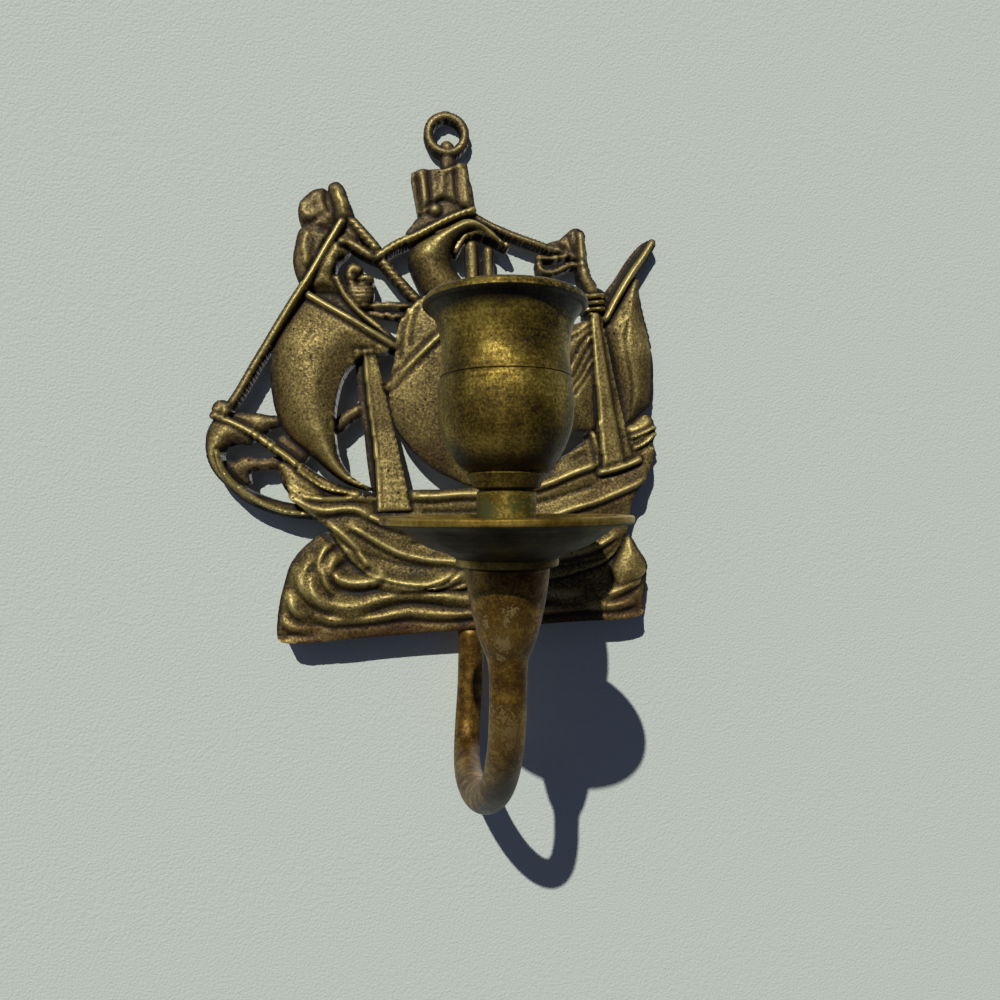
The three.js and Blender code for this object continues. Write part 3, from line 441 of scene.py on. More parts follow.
def mainsail(relief):
    relief.dome(MAINSAIL, MAINSAIL_MIDDLE, MAINSAIL_EDGE, MAINSAIL_CROWN)
    relief.lines([[(-15.6, 101), (-17.8, 94), (-18.6, 86)], [(-12, 103.5), (-14.2, 97), (-15, 90)]],
                 0.8, -0.6)
    relief.bar([(36.6, 80.5), (40.5, 87.5), (44, 92.3)], 2.8, 7.8)
    relief.bar([(35, 92), (40, 94.6), (44.8, 98.2)], 2.2, 6.6)
    relief.bar([(37, 74.5), (41, 79.5), (44.4, 85)], 2, 7.6)
    relief.bar([(-23, 77.6), (-17, 83), (-12, 87.6), (-6.5, 92.5), (0, 98), (8, 105.5)], 3.6,
               [6.6, 8.6, 10, 11, 10.6, 7.6])


def mizzen_mast(relief):
    relief.dome([(31.5, 124.3), (33, 125.3), (36, 126.1), (38.5, 128.2), (41, 129.8), (43.5, 129.5),
                 (45, 127.8), (44.6, 124.5), (45.3, 121), (45, 118), (42, 118.6), (38, 120.5), (34, 122)],
                (41.5, 124), 3.4, 5)
    relief.lines([[(35, 125), (38, 122)], [(39, 128), (41, 121)]], 0.7, -0.9)
    relief.dimples([(43.4, 126), (37, 123.6), (42.6, 121.4), (34, 123.6)], 1, 0.4)
    relief.dome([(49.8, 98.5), (50.5, 90), (52.5, 80), (54.5, 66.5), (54.8, 62.5), (59, 64.8), (62, 67.5),
                 (64.6, 69.5), (65.6, 73), (66.3, 80), (66.1, 87), (65.3, 94), (64, 100), (63, 106.5),
                 (62.4, 113.5), (60.5, 113), (55, 105)], (60, 88), 3.6, 8.6)
    relief.line([(57.4, 98), (55.6, 91), (56.4, 84), (57.8, 76), (57.4, 67)], 0.45, -0.6)
    relief.line([(60.6, 104), (62.6, 97)], 0.4, -0.3)
    head_left = [(48.2, 101), (50.8, 108), (55, 113.2), (60, 120.2), (64, 124.5), (67, 126.2)]
    head_right = [(52, 97.5), (54.8, 103), (58.8, 108.5), (62.8, 114.5), (66, 118.5), (69.4, 124)]
    relief.between(head_left, head_right, lambda t, share: 3 + 0.4 * share)
    relief.bar([(45, 109.4), (48.5, 108.4), (52, 106)], 3.2, 3.6)
    relief.bar([(42.8, 127), (43.3, 118), (44, 113), (46, 108.5), (46.6, 100)], [3, 3.4, 4.4, 5, 4.6], 6)
    relief.bar([(50.2, 99), (54.8, 106.5), (60.5, 114.8), (64.5, 119.8), (68, 124.8)], 3, [7, 6.4, 5.8, 5])
    for z in (106.4, 104.2, 102):
        relief.bar([(43.7, z - 0.3), (49.3, z + 0.3)], 1.9, 7.6)
    relief.bar([(29, 119.6), (28.6, 117), (31, 115), (35, 115.6), (39, 117.4), (43.6, 117.2)], 2.2, 4.6)
    relief.bar([(28.6, 119.8), (33, 119.6), (38, 120.4)], 2, 4.6)


HULL_TOP = [(-55.5, 48.5), (-50, 44.8), (-44, 43.8), (-36, 43.6), (-28, 43.2), (-17, 44.6), (-8, 44.4),
            (4, 44.6), (16, 45), (27, 47), (32, 52.5), (38, 56), (45, 61.2), (54, 62), (64, 58)]
HULL_FOOT = [(-54.5, 43.6), (-49, 38.5), (-44, 34.4), (-40, 28), (-34, 20), (-20, 15), (0, 13), (20, 13),
             (36, 15), (47, 19), (52.5, 26), (54.2, 33), (56, 39), (60, 44.6), (63.4, 51)]


def hull(relief):
    relief.between(HULL_TOP, HULL_FOOT,
                   lambda t, share: 7.6 + 0.8 * np.sin(pi * np.minimum(share * 2, 1) / 2))
    relief.dome([(54.8, 62.2), (58.5, 64), (62, 66.3), (64, 65.3), (65, 62), (64.7, 58.5), (63.4, 56.2),
                 (60.5, 54.5), (57.6, 53.4), (55.8, 55)], (60, 60), 6.6, 9)
    rails = [
        [(-55.8, 49.4), (-52.5, 46.6), (-49, 44.6), (-44.5, 43.6), (-39, 43.4), (-34, 43.3), (-28.5, 42.2)],
        [(-54.8, 44.4), (-51, 42.2), (-47.5, 40.2), (-43, 39.3), (-38, 39.7), (-34, 39.2), (-30, 36.8),
         (-24, 34), (-14, 32), (0, 31.2), (14, 31.8), (26, 33.8), (36, 36.6), (43, 38.2), (50, 40.7),
         (57, 43.4), (60.8, 45.6)],
        [(-17.5, 42.8), (-10, 42.3), (-2, 42.6), (4, 42.4), (16, 42.6), (27.5, 44.9), (33, 46.9),
         (38.5, 48.8), (44.8, 50.6)],
        [(-37.5, 35), (-33.5, 32.5), (-28.5, 29), (-22, 25.2), (-14, 22.7), (-6, 21.6), (4, 20.4), (16, 20),
         (30, 21), (42, 23.4), (50, 27.6)],
        [(-43.8, 35.8), (-39.5, 32.3), (-35, 27.2), (-32, 22.5), (-29, 21.3)],
    ]
    for points in rails:
        relief.ridge(points, 1.5, 2.1)
    relief.bar([(56.4, 58.8), (60, 60), (64, 61.8)], 1.8, 9.8)
    relief.bar([(57.2, 55.2), (60.5, 56.7), (64, 59.6)], 2, 9.6)
    relief.bar([(43.4, 60), (44.6, 54), (45, 48)], 3, 8.6)
    relief.line([(34.5, 53.5), (40, 56)], 0.8, 0.7)
    relief.lines([[(-14, 37.5), (0, 36.8), (14, 37.4), (28, 39.6), (42, 43.4)],
                  [(-18, 28), (0, 25.8), (20, 25.8), (40, 29)]], 0.7, -0.6)


def bow(relief):
    relief.dome([(-57.8, 55), (-57.6, 50.6), (-56.2, 46.8), (-53.2, 43.4), (-49.4, 41.2), (-44, 40),
                 (-44, 46), (-50, 53)], (-50, 47), 5.4, 7.6)
    outer = [(-77, 69.5), (-79, 65.5), (-79.6, 61), (-79, 56.5), (-76.8, 52), (-73, 47.6), (-68.5, 43.3),
             (-62, 39.8), (-55, 37.6), (-46, 36.4)]
    inner = [(-64.5, 64.5), (-66, 61.5), (-71, 61.6), (-74.6, 58.5), (-74.3, 55), (-72, 51), (-68, 47.6),
             (-62, 44.6), (-55.5, 42.4), (-46, 41)]
    relief.dome([(-72.5, 71.2), (-68, 71.3), (-64, 71.1), (-60.5, 70.3), (-57.2, 69.8), (-56.6, 67.4),
                 (-59.6, 66.2), (-62, 64.6), (-64.5, 64.4), (-68.5, 67.2)], (-64, 68.2), 3, 4.8)
    relief.dome([(-58.5, 62), (-56, 64), (-52, 60.5), (-48.5, 57.8), (-50.5, 54.8), (-54.5, 56.5)],
                (-53.5, 59.4), 3.2, 4.2)
    relief.dome([(-74.6, 56.4), (-71, 56.4), (-68, 57.7), (-63.5, 56.6), (-57.5, 57), (-56.5, 53.4),
                 (-63, 53.4), (-67, 52.4), (-67, 48.6), (-71, 49.6)], (-68, 54.4), 3.4, 4.6)
    relief.dome([(-57.6, 55), (-52, 54.6), (-44, 48.6), (-37, 45.4), (-37, 42.6), (-46, 43), (-54.6, 47),
                 (-56.4, 50)], (-48, 47.4), 4.6, 6.6)
    relief.between(outer, inner, bellied(4, 7.2))
    relief.bar([(-75.8, 59), (-75, 55), (-72.4, 50.6), (-68, 46.2), (-63, 42.6), (-57, 39.9), (-49, 38.6)],
               1.8, 8, (1.2, 0.25))
    relief.bar([(-76.5, 70.6), (-70, 67.4), (-65, 64.4), (-60, 60.5), (-55, 56.6), (-51.5, 53.4),
                (-46.5, 49.6), (-41, 46.4), (-34, 44)], 2.9, [6, 6.4, 7, 7.8, 8.6])
    relief.bar([(-51.5, 52.2), (-47.5, 49), (-43.5, 46.4), (-37, 44.8)], 1.8, 8.6)
    relief.dome(circle(-74.2, 72.4, 3), (-74.2, 72.4), 4, 6)
    relief.dimples([(-75.6, 73.8), (-72.4, 73), (-74.8, 71.2), (-73.6, 74.6), (-74, 72.8)], 1, 0.6)
    for x, z in ((-65.5, 65), (-64, 63.8), (-61, 61.3), (-59.6, 60.2), (-52.5, 54.6)):
        relief.line([(x - 0.9, z - 1.5), (x + 0.9, z + 1.5)], 0.5, 0.7)


def waves(relief):
    foot = [(-60.2, 0.4), (-58.6, -0.8), (-30, -FOOT_SAG), (0, -FOOT_SAG), (30, -0.7), (56.4, -0.5),
            (57.8, 0.8)]
    head = [(-60.6, 2.8), (-59.6, 10), (-57.4, 18), (-55, 24), (-50.5, 29), (-44.5, 32.4), (-38, 28),
            (-20, 21), (0, 18), (20, 17), (36, 18), (46, 20), (53.4, 27), (57, 21.5), (59.7, 16), (59.2, 9.5),
            (58, 3.4)]
    relief.between(foot, head, lambda t, share: WAVE_BODY + WAVE_FOOT_RISE * np.clip(1 - share * 3, 0, 1)
                   - WAVE_HEAD_FALL * np.clip(share * 4 - 3, 0, 1))
    relief.dome([(-14, 13.4), (-8, 14.4), (-3.4, 18.4), (-0.6, 18.4), (-0.4, 13), (-6, 12.4)], (-3, 15.6),
                8.6, CREST)
    relief.dome([(49, 19), (50.4, 22), (53.6, 26.6), (57, 21.5), (59.7, 16), (58.6, 13.4), (53, 11.2),
                 (49, 10.4), (47.4, 14.6)], (54, 17.4), 7.4, CREST)
    crests = [
        (2.3, 3.4, [(-38.6, 26), (-41.4, 24.4), (-42.6, 21.6), (-41.2, 18.6), (-38, 17), (-33, 16.6),
                    (-29, 17.8), (-26.2, 20.4)]),
        (1.5, 2.4, [(-41.4, 29.8), (-44.6, 27.4), (-46, 24), (-45.8, 20), (-44.4, 16.4), (-42, 13.8)]),
        (2.6, 3.3, [(-47.8, 26.8), (-50, 23.6), (-50.4, 20), (-48.8, 15.4), (-45.6, 11.8), (-41, 9.8),
                    (-36, 9.4), (-30, 10.6), (-25, 11.8), (-19, 12.4), (-12, 11.4), (-5, 9.8), (4, 9.2),
                    (16, 10), (28, 9), (38, 8.4)]),
        (2.1, 2.6, [(-54, 24), (-53.4, 19), (-51.6, 15.6), (-48, 11.4), (-44, 8)]),
        (2, 2.6, [(-56.8, 15.6), (-56.2, 12), (-54.2, 8.6), (-51, 6.4)]),
        (2, 2.5, [(-49, 7.6), (-44, 5.8), (-38, 5.6), (-30, 5.6), (-20, 6.2), (-12, 5.2), (-4, 4.8),
                  (8, 5.4), (22, 4.4), (34, 4.8), (44, 4.2), (50, 4), (55, 5)]),
        (1.7, 1.8, [(-59, 8.4), (-57.4, 5), (-54.6, 3.6), (-50, 3)]),
        (2.2, 3, [(-31, 16.6), (-25, 15.8), (-19, 15), (-13, 15), (-7, 16.4), (-2, 18.6)]),
        (2.2, 2.8, [(42, 7.4), (47, 8.2), (52, 10), (56.5, 12.4), (58.4, 15.4)]),
    ]
    for width, rise, points in crests:
        relief.ridge(points, width, rise)
    relief.lines([[(-36, 22), (-33, 19.6), (-31, 21.6)], [(-47, 33), (-43.4, 30), (-40, 25)],
                  [(-22, 12.6), (-8, 12.8), (0, 15)]], 0.6, -0.8)


def shrouds(relief):
    side = [(-33, 90), (-32.3, 74), (-31.2, 64), (-30.6, 54), (-29.6, 45), (-28.6, 38.5)]
    left = [(-30.4, 90), (-29.7, 74), (-28.8, 64), (-28.2, 54), (-27.9, 45), (-28, 38)]
    right = [(-26.6, 90), (-24.2, 77.5), (-22.4, 68), (-20.6, 58), (-19, 48.5), (-17.3, 38)]
    after = [(44.4, 101), (44.6, 90), (44.8, 80), (45, 65), (45.4, 49)]
    after_right = [(48.8, 101), (50.2, 90), (52, 77), (53.8, 66), (57, 50)]
    relief.between(side, [(x + 0.8, z) for x, z in left], lambda t, share: 4.2 + 0.6 * share)
    relief.between(left, right, lambda t, share: 6.8 + 3 * np.maximum(t - 0.5, 0) * 2)
    relief.between(after, after_right, lambda t, share: 5.6 + 3 * t + 1.8 / (1 + np.exp((share - 0.66) * 30)))
    relief.line([(44.9, 100), (45.2, 88), (45.6, 76), (46, 64), (46.6, 51)], 0.5, 0.2)
    relief.lines([[(44.8, z), (48.2, z + 0.3)] for z in np.arange(53, 99, 1.5)], 0.35, -0.15)
    relief.lines([[(-28, z), (-19, z)] for z in np.arange(38.6, 52, 2.6)], 0.35, -0.13)
    relief.lines([[(x, 52), (x + 0.8, 38)] for x in (-26, -23.6, -21.2, -19.2)], 0.35, -0.13)
    relief.line([(-29.6, 90), (-28.9, 74), (-28, 64), (-27.4, 54), (-27.1, 38.5)], 0.45, 0.3)
    relief.line([(-28.8, 90), (-28.1, 74), (-27.2, 64), (-26.6, 54), (-26.3, 38.5)], 0.35, -0.35)
    relief.bar([(45, 47.6), (50, 48.5), (55, 50), (58, 51.2)], 3.4, 10.6)
    relief.bar([(-29.2, 36.4), (-26.5, 35.1), (-18, 34)], 3, 10.4)


def back_of(relief):
    """How deep the back is hollowed at each point: behind two sails and behind the hull."""
    depth = np.zeros_like(relief.x)
    luff = [(-52, 98), (-55.2, 90), (-55.9, 82), (-55.2, 73), (-52, 64.5), (-46, 58.5)]
    leech = [(-35, 92), (-38, 87), (-41, 81), (-42.6, 73), (-43.2, 65), (-43, 58.5)]
    middle_x, middle_z = MAINSAIL_MIDDLE
    sail = [(middle_x + (x - middle_x) * SAIL_INSET, middle_z + (z - middle_z) * SAIL_INSET)
            for x, z in MAINSAIL]
    lower = [(-56.5, CASTING_WALL), (54.8, CASTING_WALL), (56, 14), (52.4, 21.4), (46, 17), (36, 15),
             (20, 15), (0, 15), (-20, 17.5), (-38, 24), (-45, 27), (-50.5, 23), (-54, 17), (-56.5, 8)]
    upper = [(-38, 36), (-28, 38.6), (-10, 40.4), (8, 40.6), (24, 41), (34, 44), (42, 50), (54, 51), (54, 40),
             (51, 33), (48, 24), (38, 19), (20, 18), (0, 18), (-20, 20.6), (-33, 25)]
    sail_hollow = MAINSAIL_CROWN - CASTING_WALL
    for outline, deepest, slope in ((luff + leech[::-1], sail_hollow - 0.6, SAIL_SLOPE),
                                    (sail, sail_hollow, SAIL_SLOPE),
                                    (lower, HULL_HOLLOW, HULL_SLOPE), (upper, HULL_HOLLOW, HULL_SLOPE)):
        line = smooth(outline, closed=True)
        window = relief.window(line, 1)
        rim = relief.inside(line, window)
        reach = np.clip(rim / slope, 0, 1)
        depth[window] = np.maximum(depth[window], deepest * np.sin(pi / 2 * reach))
    boss = (np.abs(relief.x) < BOSS_HALF_WIDTH) & (relief.z < BOSS_TOP)
    depth[boss] = 0
    return np.minimum(depth, np.maximum(relief.height - THINNEST_METAL, 0))


# Where red-brown tarnish was never rubbed away, and where the low parts kept their grey
# brown: (x, z, size, strength). Tarnish lies along the whole foot too.
TARNISH = [(47, 36, 13, 0.6), (-49, 60, 9, 0.5), (-9, 53, 10, 0.5), (56, 12, 9, 0.5), (-50, 104, 6, 0.3),
           (-66, 57, 7, 0.5), (20, 30, 16, 0.3), (57, 80, 6, 0.35)]
GREY = [(-30.5, 109, 5, 0.9), (-43, 134, 8, 0.5), (-3, 143, 9, 0.6), (-5, 132, 8, 0.6), (39, 123, 9, 0.8),
        (60, 61, 6, 0.6), (-8, 41, 11, 0.7), (46, 112, 5, 0.7), (-38, 30, 6, 0.5)]


def blots(relief, spots):
    """Soft round patches, each strongest at its middle."""
    return sum(strength * np.exp(-((relief.x - x) ** 2 + (relief.z - z) ** 2) / size ** 2)
               for x, z, size, strength in spots)


def tidy_cells(cells):
    """Takes away cells that meet others only at a corner."""
    for _ in range(3):
        for first, second in (((0, 0), (1, 1)), ((1, 0), (0, 1))):
            a = cells[first[0]:cells.shape[0] - 1 + first[0], first[1]:cells.shape[1] - 1 + first[1]]
            d = cells[second[0]:cells.shape[0] - 1 + second[0], second[1]:cells.shape[1] - 1 + second[1]]
            b = cells[1 - first[0]:cells.shape[0] - first[0], first[1]:cells.shape[1] - 1 + first[1]]
            c = cells[first[0]:cells.shape[0] - 1 + first[0], 1 - first[1]:cells.shape[1] - first[1]]
            lone = a & d & ~b & ~c
            a[lone] = False
    return cells


def back_faces(cells, number):
    """The faces behind, in blocks of cells where a whole block is there. A point on a
    block's side is left out where only blocks meet at it, so that the mesh stays closed."""
    wide, high = (size // BLOCK for size in cells.shape)
    whole = cells[:wide * BLOCK, :high * BLOCK].reshape(wide, BLOCK, high, BLOCK).all(axis=(1, 3))
    merged = np.zeros_like(cells)
    merged[:wide * BLOCK, :high * BLOCK] = np.repeat(np.repeat(whole, BLOCK, 0), BLOCK, 1)
    padded = np.pad(merged, 1)
    free = padded[:-1, :-1] & padded[1:, :-1] & padded[1:, 1:] & padded[:-1, 1:]
    steps = range(BLOCK)
    round_block = ([(0, s) for s in steps] + [(s, BLOCK) for s in steps]
                   + [(BLOCK, BLOCK - s) for s in steps] + [(BLOCK - s, 0) for s in steps])
    faces = []
    for i, j in zip(*np.nonzero(whole)):
        around = [(i * BLOCK + a, j * BLOCK + b) for a, b in round_block]
        faces.append([int(number[at]) for k, at in enumerate(around) if k % BLOCK == 0 or not free[at]])
    i, j = np.nonzero(cells & ~merged)
    single = np.stack([number[i, j], number[i, j + 1], number[i + 1, j + 1], number[i + 1, j]], axis=1)
    return faces + single.tolist()


def plaque_mesh(relief):
    """One closed mesh: the relief, walls round every edge, and the hollow back."""
    depth = back_of(relief)
    solid = relief.rim > 0
    cells = tidy_cells(solid[:-1, :-1] & solid[1:, :-1] & solid[1:, 1:] & solid[:-1, 1:])
    used = np.zeros_like(solid)
    for i, j in ((0, 0), (1, 0), (1, 1), (0, 1)):
        used[i:used.shape[0] - 1 + i, j:used.shape[1] - 1 + j] |= cells
    inner = used.copy()
    inner[1:-1, 1:-1] &= cells[:-1, :-1] & cells[1:, :-1] & cells[1:, 1:] & cells[:-1, 1:]
    edge = used & ~inner
    slope_x, slope_z = np.gradient(relief.rim, GRID)
    # The outermost points move out on to the drawn outline.
    steep = np.maximum(np.hypot(slope_x, slope_z), 0.3)
    move = np.where(edge, np.clip(relief.rim, 0, 0.9 * GRID), 0)
    x = relief.x - slope_x / steep * move
    z = relief.z - slope_z / steep * move

    number = np.full(used.shape, -1)
    number[used] = np.arange(used.sum())
    count = used.sum()
    front = np.stack([x[used], -relief.height[used], z[used] - ORIGIN_UP], axis=1)
    back = np.stack([x[used], -np.where(edge, 0, depth)[used], z[used] - ORIGIN_UP], axis=1)
    i, j = np.nonzero(cells)
    corners = np.stack([number[i, j], number[i + 1, j], number[i + 1, j + 1], number[i, j + 1]], axis=1)
    walls = []
    padded = np.pad(cells, 1)
    for step, (first, second) in (((0, -1), (0, 1)), ((1, 0), (1, 2)), ((0, 1), (2, 3)), ((-1, 0), (3, 0))):
        open_side = ~padded[i + 1 + step[0], j + 1 + step[1]]
        a, b = corners[open_side, first], corners[open_side, second]
        walls.append(np.stack([b, a, a + count, b + count], axis=1))
    faces = np.vstack([corners, *walls]).tolist() + back_faces(cells, number + count)
    mesh = bpy.data.meshes.new("ship_plaque_relief")
    mesh.from_pydata(np.vstack([front, back]) * MM, [], faces)
    # How far each point sinks below its neighbours, narrowly and broadly: the material darkens both, as grime
    # and as painted shade
    hollow = relief.softened(relief.height, NARROW_SPREAD) - relief.height
    broad = relief.softened(relief.height, BROAD_SPREAD) - relief.height
    foot = FOOT_TARNISH * np.exp(-(np.maximum(relief.z, 0) / FOOT_TARNISH_UP) ** 2)
    tarnish = np.clip(blots(relief, TARNISH) + foot, 0, 1)
    dull = np.clip((DULL_BELOW - relief.height) / DULL_FADE + blots(relief, GREY), 0, 1)
    for name, values in (("hollow", hollow), ("broad", broad), ("tarnish", tarnish), ("dull", dull)):
        layer = mesh.attributes.new(name, "FLOAT", "POINT")
        whole = np.concatenate([values[used], np.full(count, BACK_GRIME)])
        layer.data.foreach_set("value", whole.astype(np.float32))
    return mesh


def smooth_shaded(mesh, angle=50):
    mesh.polygons.foreach_set("use_smooth", [True] * len(mesh.polygons))
    mesh.set_sharp_from_angle(angle=radians(angle))


def piece(name, mesh, material, node):
    thing = bpy.data.objects.new(name, mesh)
    bpy.context.scene.collection.objects.link(thing)
    mesh.materials.append(material)
    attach(thing, "root")
    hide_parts(node)


# Round pieces, swept and turned in the arm's own frame

def arm_frame():
    """From the arm's own millimetres to metres in the row's frame."""
    place = Matrix.Translation(Vector((0, -ROD_OFF_WALL, -ORIGIN_UP)) * MM)
    return place @ Matrix.Rotation(radians(ARM_LEAN), 4, "Y") @ Matrix.Scale(MM, 4)


def ring_mesh(name, rings, local_place):
    """Joins rings of points, all of one size, and closes both ends unless they meet."""
    sides = len(rings[0])
    points = [point for ring in rings for point in ring]
    faces = []
    for start in range(0, len(points) - sides, sides):
        for i in range(sides):
            after = (i + 1) % sides
            faces.append((start + i, start + after, start + sides + after, start + sides + i))
    if (Vector(rings[0][0]) - Vector(rings[-1][0])).length > 1e-6:
        faces += [tuple(reversed(range(sides))), tuple(range(len(points) - sides, len(points)))]
    mesh = bpy.data.meshes.new(name)
    mesh.from_pydata([local_place @ Vector(point) for point in points], [], faces)
    local = mesh.attributes.new("local", "FLOAT_VECTOR", "POINT")
    local.data.foreach_set("vector", np.array(points, np.float32).ravel())
    shape = bmesh.new()
    shape.from_mesh(mesh)
    bmesh.ops.remove_doubles(shape, verts=shape.verts, dist=1e-7)
    bmesh.ops.recalc_face_normals(shape, faces=shape.faces)
    shape.to_mesh(mesh)
    shape.free()
    smooth_shaded(mesh, 35)
    return mesh


def turned(name, start, sections, up, sides=96):
    """Turns a profile about the arm's top. It begins at start, and each section is one smooth
    stretch of (radius, z) from where the last one ended, with a corner between the two."""
    profile = [start]
    for section in sections:
        line = smooth([profile[-1], *section], per=4)
        profile += [tuple(point) for point in line[1:]]
    rings = [[(radius * cos(turn), radius * sin(turn) - ARM_REACH, z + up) for turn in round_angles(sides)]
             for radius, z in profile]
    return ring_mesh(name, rings, arm_frame())


ARM_SHOULDER = -FOOT_SAG - FIT
ARM_LINE = [(0, ARM_SHOULDER), (0, -10), (0.3, -ARM_DROP * 0.6), (1.7, -ARM_DROP * 0.8),
            (6.6, -ARM_DROP * 0.94), (ARM_REACH * 0.27, -ARM_DROP), (ARM_REACH * 0.5, -ARM_DROP + 2.1),
            (ARM_REACH * 0.7, -ARM_DROP + 8), (ARM_REACH - 11.9, -24.4), (ARM_REACH - 4, -14.5),
            (ARM_REACH - 0.6, -5), (ARM_REACH, 2)]
ARM_SWELL = [(0, 0), (0.16, 0.06), (0.34, 0.38), (0.52, 0.62), (0.7, 0.8), (0.88, 0.94), (1, 1)]


def arm_mesh(sides=48):
    line = smooth(ARM_LINE, per=12)
    ways = np.gradient(line, axis=0)
    ways /= np.linalg.norm(ways, axis=1)[:, None]

    def ring(out, z, way, radius, bow=0):
        return [(cos(turn) * radius - bow, -(out - way[1] * sin(turn) * radius),
                 z + way[0] * sin(turn) * radius) for turn in round_angles(sides)]

    down, up = (0, -1), (0, 1)
    rings = [ring(0, TENON_TOP, down, TENON / 2), ring(0, ARM_SHOULDER, down, TENON / 2),
             ring(0, ARM_SHOULDER, down, ROD / 2 - 0.3)]
    steps = np.linalg.norm(np.diff(line, axis=0), axis=1)
    shares = np.cumsum(steps) / steps.sum()
    for (out, z), way, share in zip(line[1:], ways[1:], shares):
        place = np.interp(share, [0, ARM_BOW_AT, 1], [0, 0.5, 1])
        rings.append(ring(out, z, way, ROD / 2, ARM_BOW * sin(pi * place) ** 3))
    start = ARM_LINE[-1][1]
    for share, part in smooth(ARM_SWELL, per=4)[1:]:
        width = ROD + (ARM_TOP_WIDTH - ROD) * part
        rings.append(ring(ARM_REACH, start + (ARM_TOP - start) * share, up, width / 2))
    rings += [ring(ARM_REACH, z, up, SPIGOT / 2) for z in (ARM_TOP, ARM_TOP + SPIGOT_LENGTH)]
    return ring_mesh("arm_rod", rings, arm_frame())


PAN_FLOOR = PAN_FLANGE_HEIGHT + PAN_WALL
PAN_RIM = PAN_FLANGE_HEIGHT + PAN_DEPTH
# The bowl's curve, as shares of its radius and of its depth
PAN_BOWL = [(0.52, 0.1), (0.74, 0.36), (0.9, 0.68), (1, 0.9)]


def pan_mesh():
    rim = PAN_WIDTH / 2
    bowl = rim - PAN_LIP
    hole = SPIGOT / 2 + FIT
    under = [(bowl * out, PAN_FLANGE_HEIGHT + (PAN_DEPTH - PAN_WALL) * up) for out, up in PAN_BOWL]
    over = [((bowl - PAN_WALL * 0.6) * out, PAN_FLOOR + (PAN_DEPTH - PAN_WALL) * up * 0.96)
            for out, up in reversed(PAN_BOWL)]
    flange = PAN_FLANGE / 2
    return turned("drip_pan_dish", (hole, PAN_FLOOR), [
        [(hole, 0)], [(flange - 0.8, 0)], [(flange - 0.2, 0.25), (flange, 0.8)],
        [(flange, PAN_FLANGE_HEIGHT)], under, [(rim - 0.6, PAN_RIM - PAN_WALL)],
        [(rim - 0.1, PAN_RIM - PAN_WALL + 0.25), (rim, PAN_RIM - PAN_WALL / 2),
         (rim - 0.1, PAN_RIM - 0.25), (rim - 0.6, PAN_RIM)],
        [(bowl + 0.8, PAN_RIM)], [(bowl, PAN_RIM - 0.15), *over, (CUP_NECK / 2 + 1.6, PAN_FLOOR)],
        [(hole, PAN_FLOOR)]], ARM_TOP + FIT)


def cup_mesh():
    bowl = CUP_HEIGHT - CUP_NECK_HEIGHT
    candle = CANDLE_BORE / 2
    seat = CUP_HEIGHT - CANDLE_DEPTH
    neck = CUP_NECK / 2 + CUP_NECK_EXTRA
    neck_top = CUP_NECK_HEIGHT + CUP_NECK_TALLER

    def at(share):
        return CUP_NECK_HEIGHT + bowl * share

    lip = CUP_HEIGHT - CUP_LIP
    shoulder = CUP_BULGE * 0.485
    line = at(CUP_LINE)
    rim = CUP_RIM / 2
    band = CUP_FOOT_BAND / 2
    return turned("candle_cup_turned", (0, 0), [
        [(neck + 0.8, 0)], [(neck + 0.3, 0.8), (neck, 1.6)],
        [(neck - 0.2, neck_top * 0.5), (neck - 0.1, neck_top - 1.2)], [(neck - 0.7, neck_top - 0.6)],
        [(neck + 0.6, neck_top - 0.1)], [(band, at(0.09))], [(band - 0.35, at(0.1))],
        [(CUP_BULGE * 0.355, at(0.14)), (CUP_BULGE * 0.44, at(0.24)), (CUP_BULGE * 0.49, at(0.35)),
         (CUP_BULGE * 0.498, at(0.48)), (shoulder, line - 0.2)],
        [(shoulder - 0.22, line)], [(shoulder - 0.05, line + 0.2)],
        [(CUP_WAIST * 0.503, at(0.67)), (CUP_WAIST / 2, at(0.73)), (CUP_WAIST * 0.515, at(0.81)),
         (CUP_RIM * 0.425, at(0.89)), (CUP_RIM * 0.465, lip - 0.3)],
        [(rim - 0.5, lip - 0.1), (rim, lip + 0.4)],
        [(rim - 0.1, CUP_HEIGHT - 1.2), (rim - 0.4, CUP_HEIGHT - 0.5), (rim - 1.1, CUP_HEIGHT)],
        [(rim - 1.7, CUP_HEIGHT)],
        [(CUP_RIM * 0.4, at(0.955)), (candle + 0.6, at(0.86)), (candle, at(0.8))],
        [(candle, seat)], [(0, seat)]], ARM_TOP + PAN_FLOOR + 2 * FIT)


# Materials

# Colours of cast brass, each from its high parts down into its hollows
RUBBED = [(0.42, "#b4a566"), (0.6, "#807040"), (0.72, "#5c4e25"), (0.84, "#362a12"), (1, "#100b06")]
MISSED = [(0.45, "#7d6f4a"), (0.68, "#54462c"), (0.85, "#2f2316"), (1, "#120c06")]
TARNISHED = [(0.42, "#8a6b36"), (0.64, "#583b1b"), (0.82, "#331e0e"), (1, "#130a05")]


def shade(code):
    """An sRGB hex colour as linear red, green, blue and alpha."""
    parts = [int(code[i:i + 2], 16) / 255 for i in (1, 3, 5)]
    return [p / 12.92 if p <= 0.04045 else ((p + 0.055) / 1.055) ** 2.4 for p in parts] + [1]


def per_mm(size):
    """The scale, on coordinates in metres, of a pattern with features of size millimetres."""
    return 1 / (size * MM)


